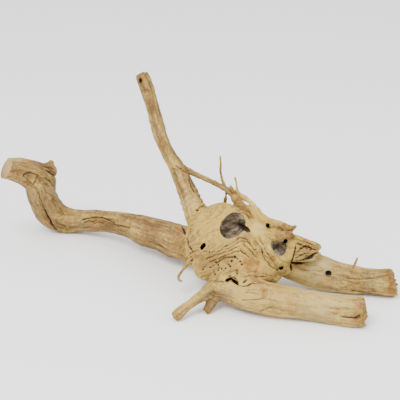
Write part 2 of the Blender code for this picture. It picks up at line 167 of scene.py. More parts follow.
def smooth_route(route, spacing):
    """Catmull-Rom: between two points each number is a cubic in t from 0 to 1, fixed by the two points
    and by their outer neighbours, and it is read about once every spacing millimetres."""
    points = np.array(route, float)
    padded = np.vstack([2 * points[0] - points[1], points, 2 * points[-1] - points[-2]])
    pieces = []
    for first in range(len(points) - 1):
        a, b, c, d = padded[first:first + 4]
        count = max(2, round(float(np.linalg.norm((c - b)[:3])) / spacing))
        t = np.arange(count)[:, None] / count
        cubic = (2 * a - 5 * b + 4 * c - d) * t**2 + (3 * b - a - 3 * c + d) * t**3
        pieces.append(0.5 * (2 * b + (c - a) * t + cubic))
    return np.vstack([*pieces, points[-1:]])


def carried_frame(centres):
    """Along the route: its unit direction, the direction that faces the front as far as it can, and
    the side direction, which is square to both."""
    ways = np.gradient(centres, axis=0)
    ways /= np.linalg.norm(ways, axis=1)[:, None]
    front = np.array([0.0, -1.0, 0.0])
    faces = front - (ways @ front)[:, None] * ways
    faces /= np.linalg.norm(faces, axis=1)[:, None]
    return ways, faces, np.cross(faces, ways)


for name, route in LIMBS.items():
    line = smooth_route(route, 3)
    run = np.linalg.norm(np.diff(line[:, :3], axis=0), axis=1).sum()
    thinnest, thickest = 2 * line[:, 3].min(), 2 * line[:, 3].max()
    print(f"{name} limb: {run:.0f} mm long, {thinnest:.0f} to {thickest:.0f} mm thick")

# %% [markdown]
# ## Limbs, ridges and lumps as surfaces
# A limb is a circle carried along its route: one parameter runs along, the other round. The knot is a
# cluster of swollen lumps, each an ellipsoid over two angles. They overlap freely, because the next
# step grows a single skin over the whole heap.

# %% Surfaces
LUMPS = [
    (35, -35, 72, 43, 42, 42), (13, -27, 60, 27, 32, 34), (45, -59, 38, 30, 32, 27),
    (17, -51, 42, 21, 24, 22), (87, -31, 58, 28, 30, 26), (105, -47, 40, 15, 15, 18),
    (39, 1, 46, 40, 32, 34), (79, -3, 50, 28, 22, 26), (63, -67, 42, 38, 24, 24),
    (69, -41, 70, 26, 28, 25), (-198, 93, 105, 13, 12, 13), (87, -55, 28, 20, 20, 14),
]


def grid_faces(rows, columns):
    """Quads of a grid whose columns close on themselves, as corner numbers."""
    row = np.arange(rows - 1)[:, None] * columns
    column = np.arange(columns)[None, :]
    following = (column + 1) % columns
    corners = [row + column, row + following, row + columns + following, row + columns + column]
    return np.stack(corners, -1).reshape(-1, 4)


def closed_grid(name, points, rows, columns):
    """A mesh object from a grid of points in millimetres, closed by a cap at each end. Its faces are
    turned outwards at the end."""
    last = (rows - 1) * columns
    caps = [list(range(columns - 1, -1, -1)), list(range(last, last + columns))]
    mesh = bpy.data.meshes.new(name)
    mesh.from_pydata((points * MM).tolist(), [], grid_faces(rows, columns).tolist() + caps)
    shape = bmesh.new()
    shape.from_mesh(mesh)
    bmesh.ops.recalc_face_normals(shape, faces=shape.faces)
    shape.to_mesh(mesh)
    shape.free()
    piece = bpy.data.objects.new(name, mesh)
    bpy.context.scene.collection.objects.link(piece)
    return piece


def tube_surface(name, route, spacing, sides):
    """Point (u, v) is the route's centre at u, plus its radius times (cos v * front + sin v * side)."""
    line = smooth_route(route, spacing)
    ways, faces, across = carried_frame(line[:, :3])
    turn = np.linspace(0, 2 * np.pi, sides, endpoint=False)[None, :, None]
    ring = np.cos(turn) * faces[:, None] + np.sin(turn) * across[:, None]
    points = line[:, None, :3] + line[:, None, 3:] * ring
    return closed_grid(name, points.reshape(-1, 3), len(line), sides)


def egg_turn(roll, tilt):
    """The matrix that rolls a row of coordinates in its own face and then tips it up to the viewer."""
    r, t = math.radians(roll), math.radians(tilt)
    rolled = np.array([[math.cos(r), 0, -math.sin(r)], [0, 1, 0], [math.sin(r), 0, math.cos(r)]])
    tipped = np.array([[1, 0, 0], [0, math.cos(t), -math.sin(t)], [0, math.sin(t), math.cos(t)]])
    return rolled @ tipped


def egg_surface(name, place, radii, roll=0.0, tilt=0.0, unevenness=0.0, seed=0):
    """Point (u, v) is the place plus (across * sin u cos v, deep * sin u sin v, up * cos u), rolled and
    tipped. Six seeded sine waves of the direction make each radius a little longer or shorter."""
    rows, sides = 26, 40
    u = np.linspace(0.04, np.pi - 0.04, rows)[:, None]
    v = np.linspace(0, 2 * np.pi, sides, endpoint=False)[None, :]
    unit = np.stack([np.sin(u) * np.cos(v), np.sin(u) * np.sin(v), np.cos(u) * np.ones_like(v)], -1)
    unit = unit.reshape(-1, 3)
    dice = np.random.default_rng(seed)
    swell = np.sin(unit @ dice.normal(size=(3, 6)) * 2.2 + dice.uniform(0, 6.28, 6)).mean(1)
    shaped = unit * np.array(radii) * (1 + unevenness * swell)[:, None]
    return closed_grid(name, shaped @ egg_turn(roll, tilt) + np.array(place), rows, sides)


forms = [tube_surface(name, route, 3.0, 40) for name, route in {**LIMBS, **RIDGES}.items()]
forms += [egg_surface(f"lump_{order}", lump[:3], lump[3:]) for order, lump in enumerate(LUMPS)]
print(len(forms), "overlapping forms")

# %% [markdown]
# ## One skin over the forms
# Live wood has no sharp inside corners: it fills every fork. Remesh with voxels drops one closed skin
# over the heap, and smoothing rounds the forks. The knot's back gets far more smoothing, because
# there the lumps have flowed into one another.

# %% First skin
SKIN_GRID = 1.6
KNOT_MIDDLE = np.array([46.0, -25.0, 50.0])
KNOT_REACH = 84


def apply_modifiers(piece):
    """Replaces the piece's mesh by what its modifiers make of it."""
    graph = bpy.context.evaluated_depsgraph_get()
    mesh = bpy.data.meshes.new_from_object(piece.evaluated_get(graph))
    piece.modifiers.clear()
    piece.data = mesh


def merged(pieces):
    """All the pieces' faces in the first one's mesh."""
    with bpy.context.temp_override(active_object=pieces[0], selected_editable_objects=pieces):
        bpy.ops.object.join()
    return pieces[0]


def reskin(piece, voxel):
    """One closed skin of quads the size of a voxel round everything that the piece holds."""
    skin = piece.modifiers.new("skin", "REMESH")
    skin.mode = "VOXEL"
    skin.voxel_size = voxel * MM
    apply_modifiers(piece)


def ease(piece, rounds, weights=None):
    """Moves each point half way to the middle of its neighbours, rounds times, as far as its weight
    says. Weights go to the group in steps of a twentieth."""
    smooth = piece.modifiers.new("ease", "SMOOTH")
    smooth.factor = 0.5
    smooth.iterations = rounds
    if weights is not None:
        group = piece.vertex_groups.new(name="weight")
        steps = np.round(weights * 20).astype(int)
        for step in range(1, 21):
            group.add(np.flatnonzero(steps == step).tolist(), step / 20, "REPLACE")
        smooth.vertex_group = "weight"
    apply_modifiers(piece)
    piece.vertex_groups.clear()


def read(piece, field):
    """Point places in millimetres, or point normals, one row each."""
    values = np.empty(len(piece.data.vertices) * 3, np.float32)
    piece.data.vertices.foreach_get(field, values)
    rows = values.reshape(-1, 3).astype(float)
    return rows / MM if field == "co" else rows


def put(piece, places):
    piece.data.vertices.foreach_set("co", (places * MM).astype(np.float32).ravel())
    piece.data.update()


def fade(value, full, none):
    """1 at full or beyond, 0 at none or beyond, with eased ends between."""
    t = np.clip((value - none) / (full - none), 0, 1)
    return t * t * (3 - 2 * t)


wood = merged(forms)
reskin(wood, SKIN_GRID)
ease(wood, 9)
places, normals = read(wood, "co"), read(wood, "normal")
near_knot = fade(np.linalg.norm(places - KNOT_MIDDLE, axis=1), KNOT_REACH - 14, KNOT_REACH)
turned_away = fade(normals @ LOOK, 0.1, -0.35) * fade(places[:, 2], 92, 100)
at_back = fade(places[:, 1], -3, -17) * fade(places[:, 2], 84, 96)
ease(wood, 90, near_knot * np.maximum(turned_away, at_back))
print("first skin:", len(wood.data.vertices), "points")

# %% [markdown]
# ## Hollows
# Rot took the heart of the knot and left hollows with a thin, worn rim. Each is cut with an uneven
# egg, tipped towards the viewer. Cutting comes before the finer skin, so that the rims are worn round
# with the rest and the walls inside get the same fine points.

# %% Cut the hollows
HOLLOWS = {
    "eye": ((44.8, -54, 95), (19.8, 23, 15.0), -44),
    "eye_slot": ((61, -47, 90), (11.5, 17, 3.8), 38),
    "mouth": ((104, -51, 66.5), (9.2, 9, 11.0), -14),
    "mouth_top": ((112, -49, 73), (3.6, 15, 3.8), 0),
    "nostril": ((107, -55, 38), (4.2, 8, 2.8), 0),
    "left_slit": ((10, -63, 73), (2.1, 13, 5.4), 34),
    "brow_pocket": ((91, -27, 83), (2.6, 7, 3.0), 20),
    "crack_mouth": ((41, -92, 42), (6.2, 9, 1.5), -26),
    "crack_corner": ((49, -96, 41), (7.0, 10, 1.4), 38),
    "rear_knot_hole": ((167, -57, 32), (2.6, 5, 2.3), 0),
    "top_hole": ((-68, 37, 253), (2.4, 6, 3.6), 10),
}
HOLLOW_TILT = 25
WIDE_HOLLOWS = ("eye", "eye_slot", "mouth", "mouth_top")

cutters = []
for order, (name, (place, radii, roll)) in enumerate(HOLLOWS.items()):
    cutter = egg_surface(name, place, radii, roll, HOLLOW_TILT, 0.05, order)
    cut = wood.modifiers.new(name, "BOOLEAN")
    cut.operation = "DIFFERENCE"
    cut.solver = "MANIFOLD"
    cut.object = cutter
    cutters.append(cutter)
apply_modifiers(wood)
for cutter in cutters:
    bpy.data.objects.remove(cutter, do_unlink=True)
print(len(HOLLOWS), "hollows cut")

# %% [markdown]
# ## Twigs, and a finer skin
# Most twigs are as thin as a match, so they join before a second skin with smaller voxels. Smoothing
# thins them again. So each point that now lies inside its twig's own radius is moved straight out to
# it, which needs to know where along which twig it lies: its limb coordinates.

# %% Fine skin
FINE_GRID = 0.85
SAWN_FACE = ((-249.4, 67.1, 120.6), (-0.78, -0.31, 0.53))
SAWN_REACH = 34


def limb_coordinates(points, route):
    """From the nearest sample of the route: length along it, the offset square to it, that offset's
    share facing front and to the side, and the radius and direction there. The nearest sample has the
    least |centre|^2 - 2 point . centre, worked out for blocks of points at a time."""
    line = smooth_route(route, 2.0)
    centres = line[:, :3]
    ways, faces, across = carried_frame(centres)
    lengths = np.concatenate([[0.0], np.cumsum(np.linalg.norm(np.diff(centres, axis=0), axis=1))])
    squares = (centres**2).sum(1)
    blocks = np.array_split(points, max(1, len(points) // 30000))
    near = np.concatenate([(squares - 2 * block @ centres.T).argmin(1) for block in blocks])
    offset = points - centres[near]
    ahead = (offset * ways[near]).sum(1)
    out = offset - ahead[:, None] * ways[near]
    return {
        "along": lengths[near] + ahead, "last": lengths[-1], "out": out, "radius": line[near, 3],
        "way": ways[near], "front": (out * faces[near]).sum(1), "side": (out * across[near]).sum(1),
        "reach": np.linalg.norm(offset, axis=1) / line[near, 3],
    }


wood = merged([wood, *(tube_surface(name, route, 1.5, 16) for name, route in TWIGS.items())])
reskin(wood, FINE_GRID)
ease(wood, 3)
places = read(wood, "co")
for name, route in TWIGS.items():
    at = limb_coordinates(places, route)
    away = np.linalg.norm(at["out"], axis=1)
    thin = (away > 0.1) & (away < at["radius"]) & (at["along"] > 0.5) & (at["along"] < at["last"] - 0.5)
    full = at["radius"] * (1 + 0.06 * np.sin(at["along"] * 0.55) + 0.04 * np.sin(at["along"] * 1.3))
    places[thin] += (at["out"] * (full / np.maximum(away, 0.1) - 1)[:, None])[thin]
sawn_middle, sawn_way = np.array(SAWN_FACE[0]), np.array(SAWN_FACE[1]) / np.linalg.norm(SAWN_FACE[1])
beyond = (places - sawn_middle) @ sawn_way
tip = np.linalg.norm(places - sawn_middle, axis=1) < SAWN_REACH
places -= (np.maximum(beyond, 0) * tip)[:, None] * sawn_way
sawn = fade(-beyond, 0.2, 0.9) * tip
put(wood, places)
print("fine skin:", len(places), "points")

# %% [markdown]
# ## Unevenness without a pattern
# Wood never repeats. Three seeded helpers give that: `waves` for long swells, `cloud` for patches of
# any size, and `pits_in` for small round holes. All work on whole arrays of places.

# %% Noise
def waves(points, wavelength, seed):
    """Seven sine waves in seeded directions, summed: from about -1 to 1."""
    dice = np.random.default_rng(seed)
    ways = dice.normal(size=(7, 3))
    ways /= np.linalg.norm(ways, axis=1)[:, None]
    pitches = wavelength * dice.uniform(0.75, 1.35, 7)
    turns = points @ (ways * (2 * np.pi / pitches)[:, None]).T
    return np.sin(turns + dice.uniform(0, 6.28, 7)).sum(1) / 3.2


def corner_value(cell, table):
    """A seeded row of the table for each whole-numbered cell, found by mixing its three coordinates."""
    mixed = cell[:, 0] * 73856093 ^ cell[:, 1] * 19349663 ^ cell[:, 2] * 83492791
    return table[mixed & (len(table) - 1)]


def cloud(points, seed):
    """Value noise from 0 to 1: the eight corners of a point's unit cell, mixed with eased weights."""
    table = np.random.default_rng(seed).random(8192)
    cell = np.floor(points).astype(np.int64)
    t = points - cell
    t = t * t * (3 - 2 * t)
    total = np.zeros(len(points))
    for corner in np.ndindex(2, 2, 2):
        weight = np.where(corner, t, 1 - t).prod(1)
        total += weight * corner_value(cell + corner, table)
    return total


def pits_in(points, share, seed):
    """Distance to the nearest pit in cells of size 1. Only that share of the cells holds one, at a
    seeded place inside it."""
    table = np.random.default_rng(seed).random((8192, 4))
    cell = np.floor(points).astype(np.int64)
    nearest = np.full(len(points), 9.0)
    for step in np.ndindex(3, 3, 3):
        home = cell + np.array(step) - 1
        value = corner_value(home, table)
        gap = np.linalg.norm(points - home - 0.15 - 0.7 * value[:, :3], axis=1)
        nearest = np.where((value[:, 3] < share) & (gap < nearest), gap, nearest)
    return nearest


example = cloud(places / 20, 1)
print("a cloud over the wood runs from", example.min().round(2), "to", example.max().round(2))

# %% [markdown]
# ## The grain
# Fibres run along each limb and swirl round the knot. Two fields carry that. `grain` is the place
# along a limb, and across it to the front and the side, as if the limb had been straightened. `swirl`
# numbers the tent-shaped folds that hang over the knot's front below the big hollow.

# %% Grain fields
SWIRL_TOP = np.array([52.0, -62.0, 84.0])
SLAB_TIP = (332, 251)
SLAB_LAYER_DEGREES = 6


def grain_at(points):
    """The straightened place on the limb or twig of least reach, shifted 400 mm for each so that no
    two match, and how far the point belongs to a limb rather than to the knot."""
    grain = np.zeros_like(points)
    least = np.full(len(points), 99.0)
    for order, route in enumerate([*LIMBS.values(), *TWIGS.values()]):
        at = limb_coordinates(points, route)
        here = at["reach"] < least
        straight = np.stack([at["along"] + 400 * order, at["front"], at["side"]], 1)
        grain[here] = straight[here]
        least = np.minimum(least, at["reach"])
    knot = fade(np.linalg.norm((points - KNOT_MIDDLE) * [0.85, 1, 1], axis=1), 56, 82)
    return grain, fade(least, 1.3, 1.9) * (1 - knot), knot


def swirl_at(points):
    """Millimetres down in the picture from the swirl's top, less 0.72 times the eased distance to the
    side, bent by long and short waves. Lines of equal swirl are tent-shaped."""
    offset = points - SWIRL_TOP
    beside = np.sqrt((offset[:, 0] + 4 * waves(points, 45, 31)) ** 2 + 30)
    return -(offset @ LOOK_UP) - 0.72 * beside + 4 * waves(points, 38, 32) + 1.2 * waves(points, 13, 33)


def slab_layer_at(points):
    """The broken slab right of the knot splits in layers that meet beyond its tip. Counted in layers,
    the angle in the picture at which a point lies, seen from the place where they meet."""
    spots, _ = seen(points)
    angle = np.arctan2(spots[:, 1] - SLAB_TIP[1], SLAB_TIP[0] - spots[:, 0])
    return np.degrees(angle) / SLAB_LAYER_DEGREES


normals = read(wood, "normal")
facing = fade(-normals @ LOOK, 0.3, 0.0)
grain, limb, knot = grain_at(places)
swirl = swirl_at(places)
print(f"{limb.mean():.0%} of the skin belongs to limbs and twigs")

# %% [markdown]
# ## Marks of the front
# Cracks, scars, creases and edges each have their place in the picture. A mark is a broken line in
# picture coordinates, half its width and its depth in millimetres, and how dark it is. A depth below
# 0 raises a lip. The line is cast from the eye onto the skin, so that only the surface it really lies
# on is marked. Deep marks are dark partly as painted shadow, and the crevice under the slab is a
# painted shadow.

# %% Marks
MARKS = {
    "scar_top": ([(22.5, 177), (26, 173.5), (31, 172.4), (37, 174.6)], 1.3, 1.7, 0.85),
    "scar_right": ([(37.4, 174.5), (36.6, 179), (33.6, 184)], 2.6, 1.8, 0.5),
    "scar_left": ([(23.6, 176.7), (28, 180), (32.5, 183.6)], 1.0, 1.0, 0.55),
    "scar_face": ([(27.5, 176.5), (33, 178.6)], 5.0, 1.3, 0.0),
    "scar_heel": ([(38.5, 176), (41.5, 180), (39.5, 183)], 3.2, 1.2, 0.42),
    "scar_under": ([(27, 184.4), (32, 186), (37.5, 187.8)], 1.0, 0.8, 0.45),
    "scar_under_low": ([(31, 187.2), (36.5, 190)], 0.8, 0.6, 0.35),
    "elbow_tear_1": ([(43.5, 165.6), (49, 166.6), (54.6, 169)], 1.3, 1.5, 0.6),
    "elbow_tear_2": ([(45.9, 165.6), (50, 169), (55.4, 173.2)], 1.5, 1.5, 0.7),
    "elbow_tear_3": ([(46.7, 170.8), (51, 173.6), (55.6, 176.8)], 2.2, 2.4, 0.95),
    "elbow_tear_4": ([(44, 177.5), (49.5, 180.6), (54.4, 186)], 1.3, 1.3, 0.6),
    "elbow_tear_5": ([(41, 183.6), (46, 184), (50, 187)], 0.9, 0.7, 0.3),
    "long_crack": ([(38.3, 191), (40.6, 199), (43.4, 207), (46.6, 215)], 1.0, 0.9, 0.6),
    "long_crack_low": ([(44.5, 210), (47.6, 217), (50.6, 223), (53, 226.6)], 1.7, 2.6, 1.0),
    "long_crack_toe": ([(50.5, 223.4), (53.4, 227), (57, 229.6)], 1.6, 1.6, 0.85),
    "shin_crease": ([(47.2, 192), (54.8, 198.4), (57.5, 202.6)], 1.0, 0.9, 0.5),
    "shin_crease_low": ([(58.6, 205), (61.6, 210), (65.7, 216.9)], 1.0, 0.8, 0.4),
    "shin_smudge": ([(47, 197), (49.5, 203), (51.5, 209)], 2.8, 0.5, 0.25),
    "ankle_smudge": ([(59.3, 224.6), (63, 226.4), (66.4, 228)], 2.0, 0.8, 0.6),
    "flute_edge": (
        [(81.6, 219.6), (88, 218), (94.4, 217), (102, 217.4), (108.4, 219.6)], 1.5, 2.0, 0.75,
    ),
    "flute_edge_far": ([(105, 218.2), (110, 220.6), (115.4, 225.6)], 1.4, 1.6, 0.75),
    "flute_bed": ([(84, 221.8), (92, 220.4), (100, 220.8), (107, 223.4)], 3.4, 1.6, 0.14),
    "flute_rag_1": ([(84.5, 222.6), (88, 220.2), (91, 221.6), (95, 219.6)], 0.9, 1.0, 0.55),
    "flute_rag_2": ([(93, 224.4), (97.5, 222.2), (101, 223), (106, 226)], 1.2, 1.2, 0.6),
    "flute_rag_3": ([(104, 221), (109, 223), (112.6, 225.6)], 1.2, 1.2, 0.5),
    "flute_tail": ([(115, 225.4), (121.5, 226.2), (130, 228)], 1.0, 1.2, 0.95),
    "flute_dash": ([(82.6, 228.6), (86.5, 227.4), (91, 227.2)], 1.1, 0.9, 0.6),
    "brow_dash": ([(93.5, 212.3), (98, 211.8), (102, 212.3)], 0.8, 0.5, 0.45),
    "top_smear": ([(119, 214.8), (123.4, 216), (127.4, 217.8)], 1.8, 0.6, 0.45),
    "long_line": ([(134, 239), (143, 241.4), (152, 243.8), (161, 246.4), (170, 249.6)], 0.8, 0.8, 0.42),
    "notch": ([(182.2, 225.4), (183.6, 229.4), (185.4, 234.4)], 2.0, 3.4, 1.0),
    "notch_line_1": ([(174.6, 227), (179, 229.4), (184, 233.6)], 0.9, 0.9, 0.5),
    "notch_line_2": ([(172, 230), (177.5, 233), (183, 237.6)], 0.8, 0.6, 0.35),
    "limb_seam": ([(185.4, 234), (186.6, 240), (188, 246), (192.4, 251.4)], 1.5, 2.6, 0.85),
    "hook_root": ([(188.4, 257), (191, 253), (195.4, 251)], 1.2, 1.4, 0.7),
    "hook_seam": ([(190.4, 263.4), (191.8, 260.4), (193.6, 259.6)], 1.2, 1.2, 0.7),
    "top_rim": ([(137.8, 74.4), (140.4, 72.8), (148, 75), (149.4, 77)], 0.8, 0.4, 0.6),
    "upright_ear": ([(171.6, 168.6), (175, 169.6), (178.4, 172)], 1.2, 1.0, 0.35),
    "upright_ear_hole": ([(180.6, 168.2), (182.6, 168.8)], 1.3, 1.4, 0.9),
    "upright_ear_low": ([(176, 165.4), (180, 168.8), (186.4, 172.4)], 1.3, 1.2, 0.4),
    "upright_split": ([(188.4, 175.6), (190.4, 182), (192, 187.4), (194.8, 193)], 1.2, 1.8, 0.85),
    "upright_split_side": ([(191.4, 178.6), (194.8, 183.6), (197.6, 189.4)], 1.1, 1.1, 0.4),
    "upright_line": ([(176.6, 172), (180.6, 182), (184.6, 191)], 0.8, 0.5, 0.28),
    "crown_foot_hole": ([(195.2, 210.2), (198.6, 209.8)], 1.5, 2.2, 1.0),
    "crown_foot": ([(196, 211), (200, 207.4), (204.6, 204.8)], 1.3, 1.4, 0.45),
    "eye_rim_left": ([(217.4, 229), (218.4, 236), (222, 240.6)], 0.9, 0.4, 0.35),
    "eye_lip": ([(226, 242.4), (232, 240.4), (237.4, 236.4), (241, 233.2)], 1.1, -0.7, 0.0),
    "arch_1": ([(222, 247.6), (229, 245.6), (235, 242), (240.4, 237.2)], 1.3, 1.2, 0.42),
    "arch_1b": ([(240.4, 237.2), (246, 239.4), (251, 244.6)], 1.2, 1.1, 0.4),
    "arch_2": ([(212, 251.6), (219, 251.4), (227, 249), (234.6, 245.4), (241.4, 241)], 1.1, 1.0, 0.4),
    "arch_2b": ([(241.4, 241), (247.4, 241.8), (252.4, 247), (256.6, 252.4)], 1.1, 1.0, 0.36),
    "arch_3": ([(206, 258.6), (214, 255.6), (222, 253.6), (231, 250.4), (240, 245.8)], 1.1, 1.0, 0.45),
    "arch_3b": ([(245, 245), (250, 250), (255.6, 256), (261, 262.6)], 1.0, 0.9, 0.4),
    "arch_4": ([(209, 262.4), (217, 259.4), (226, 256), (234, 252.6), (241, 250.8)], 1.0, 0.9, 0.45),
    "arch_4b": ([(241, 250.8), (247, 255.6), (254, 260.6)], 1.0, 0.9, 0.4),
    "arch_5": (
        [(215.6, 265.6), (219.4, 260.8), (225.4, 258), (232, 257.4), (238.6, 258.4)], 1.2, 1.3, 0.65,
    ),
    "arch_right_1": (
        [(252.4, 238), (257.4, 243.6), (261.6, 250), (266.4, 256), (271, 262.4)], 1.1, 1.0, 0.35,
    ),
    "arch_right_2": ([(258.6, 237), (263, 243.6), (266, 251), (271, 258), (276.4, 267)], 1.1, 1.0, 0.32),
    "arch_right_3": ([(262, 249), (264, 256), (268.6, 262), (273, 267.6), (277, 270.4)], 1.3, 1.5, 0.6),
    "tiny_hole": ([(255.6, 249.4), (256.8, 249.6)], 1.0, 1.6, 1.0),
    "slit_crumbs": ([(202, 251.8), (205.6, 251.2), (207, 253)], 0.8, 0.8, 0.6),
    "dome_line_1": ([(190.4, 238), (197, 231.6), (205, 225.4), (212, 221.6)], 0.8, 0.4, 0.22),
    "dome_line_2": ([(188, 228.6), (195, 222.4), (202, 217.4)], 0.8, 0.35, 0.18),
    "dome_line_3": ([(193, 247.6), (200, 239), (208, 233.6), (214, 231)], 0.8, 0.4, 0.2),
    "crack_mouth": ([(226.8, 282), (230.4, 279), (233, 279.8), (238.4, 284.2)], 1.9, 2.8, 1.0),
    "crack_dash": ([(243.2, 281.6), (246.8, 280)], 1.3, 1.8, 1.0),
    "crack_line": (
        [(238.4, 284.6), (243, 286.2), (248, 285), (252.4, 282.4), (257, 283.2)], 1.0, 1.2, 0.8,
    ),
    "crack_line_far": ([(257, 283.2), (263.4, 281), (270, 282.6), (279, 282.4)], 1.0, 1.0, 0.5),
    "crack_left": ([(205, 283), (212, 280.4), (219, 281.4), (226.8, 282)], 0.9, 0.8, 0.4),
    "fold_1": ([(243, 277), (251, 275.4), (259, 277.2), (268, 276)], 1.0, 0.9, 0.45),
    "fold_2": ([(246, 272.6), (254, 271.6), (262, 273.4), (272, 275.8)], 1.0, 0.8, 0.35),
    "pocket_rim": ([(266.6, 223.6), (268.4, 227), (271.4, 227.8)], 1.4, 1.4, 0.7),
    "beak_under": ([(279.6, 236), (284, 234.4), (288.6, 231), (293, 229.4)], 1.2, 1.0, 0.4),
    "beak_edge": ([(287, 228), (291, 226.4), (295.4, 225.6)], 1.1, 0.6, 0.35),
    "mouth_spot": ([(284, 240.6), (286.4, 240.4)], 1.8, 1.8, 1.0),
    "mouth_left": ([(272.2, 240.4), (272, 245.6), (274.2, 251.6)], 1.2, 1.0, 0.7),
    "mouth_wall": ([(278.4, 243), (278.6, 249.6), (281, 254)], 1.0, 0.8, 0.4),
    "nostril_rim": ([(277.6, 270.6), (280, 267.4), (283.4, 267.2)], 1.2, 1.2, 0.7),
    "slab_seam": ([(295.4, 246), (294.4, 253), (292.4, 259.6), (291.4, 264)], 1.5, 2.2, 0.75),
    "slab_line_1": ([(297, 238.6), (303, 240.4), (309, 243), (314.4, 246)], 1.1, 1.3, 0.55),
    "slab_line_2": (
        [(297.6, 251.6), (300.6, 248.4), (304.4, 246.6), (310, 248), (315.6, 250)], 1.3, 1.7, 0.85,
    ),
    "slab_line_3": ([(295, 258.4), (300.6, 255.4), (306.6, 253.4), (312, 252.6)], 1.1, 1.4, 0.65),
    "slab_line_4": ([(297, 243.4), (302, 245)], 1.1, 1.2, 0.55),
    # The crevice under the slab is painted black as its shadow.
    "slab_crevice_shadow": (
        [(292, 264), (298, 262.6), (304.6, 260.4), (311, 256.8), (317, 253.4)], 2.6, 4.0, 1.0,
    ),
    "slab_root": ([(291.4, 264), (291.6, 268), (291.4, 271.4)], 1.7, 2.4, 0.95),
    "disc_top": ([(261.4, 293.8), (263, 291.2), (266.6, 291.2), (268, 294)], 0.7, 0.4, 0.35),
    "disc_foot": ([(268, 294), (266.4, 296.8), (262.8, 296.6), (261.4, 293.8)], 0.7, 0.4, 0.3),
    "disc_crease": (
        [(241.6, 299.8), (247, 300.2), (253, 299.6), (259, 299.6), (265, 297.8)], 0.9, 0.9, 0.55,
    ),
    "disc_crease_low": ([(258.6, 311.8), (263, 311), (268, 309.4), (274, 306)], 1.0, 0.8, 0.45),
    "shoulder_fold_1": ([(209, 293.4), (215, 296.6), (222, 298.6), (228, 301)], 0.9, 0.9, 0.4),
    "shoulder_fold_2": ([(212.4, 292), (219, 294.8), (227, 297)], 0.9, 0.8, 0.36),
    "shoulder_fold_3": ([(206, 296), (211, 299.6), (217, 302.4)], 0.9, 0.8, 0.4),
    "front_split": ([(341, 317.4), (346, 317.8), (352, 318.6), (357, 318.2)], 1.4, 2.6, 0.95),
    "front_cavity": ([(354, 319.4), (358.6, 317.6), (363.4, 317)], 3.0, 3.6, 0.7),
    "front_end_line": ([(352, 300.4), (357, 299.6), (361.6, 300.4)], 1.0, 0.8, 0.4),
    "rear_hole_top": ([(325.6, 273), (327.4, 270.4), (330.4, 270.4), (331.8, 273)], 0.9, -0.5, 0.5),
    "rear_hole_foot": ([(331.8, 273), (330, 275.4), (327, 275.2), (325.6, 273)], 0.9, -0.5, 0.4),
    "rear_streak_1": ([(327, 260), (336, 262), (345.6, 264.4), (358, 267)], 0.9, 0.5, 0.34),
    "rear_streak_1b": ([(356, 266.6), (372, 269), (387, 270.8)], 0.9, 0.5, 0.34),
    "rear_streak_2": (
        [(300, 268), (308, 265.4), (316, 265), (326, 266.6), (338, 270.4)], 0.8, 0.4, 0.24,
    ),
    "rear_score": ([(347, 279), (356, 279), (366.6, 278.6), (380, 276.4), (391, 274.8)], 1.0, 0.9, 0.36),
    "rear_dash_1": ([(341, 288), (346, 286.6), (351, 286)], 0.9, 0.6, 0.45),
    "rear_dash_2": ([(355, 284.6), (359, 283.8)], 0.8, 0.5, 0.4),
    "rear_low_edge": ([(350, 290.6), (360, 291.8), (375, 294.4), (391, 297)], 1.1, 1.1, 0.75),
}
MARK_WOBBLE_PIXELS = 0.35
MARK_SURFACE = (10, 18)


def cast(pixels):
    """The depth of the skin under each point of the picture. A line of sight that passes beside the
    skin takes the depth of the skin nearest to it."""
    depths = []
    for pixel in pixels:
        line = sight_line(pixel)
        spot = EYE + line * CAMERA_DISTANCE
        hit = skin_tree.ray_cast(Vector(EYE * MM), Vector(line))[0]
        for _ in range(3 if hit is None else 0):
            near = skin_tree.find_nearest(Vector(spot * MM))[0]
            spot = EYE + line * ((np.array(near) / MM - EYE) @ line)
        depths.append((spot if hit is None else np.array(hit) / MM) @ LOOK - EYE @ LOOK)
    return np.array(depths)


def along_line(spots, line):
    """The least distance from each spot to a broken line, and the number of corners passed there."""
    nearest = np.full(len(spots), np.inf)
    passed = np.zeros(len(spots))
    for order, (start, end) in enumerate(zip(line[:-1], line[1:])):
        run = end - start
        t = np.clip((spots - start) @ run / (run @ run), 0, 1)
        gap = np.linalg.norm(spots - start - t[:, None] * run, axis=1)
        passed = np.where(gap < nearest, order + t, passed)
        nearest = np.minimum(nearest, gap)
    return nearest, passed


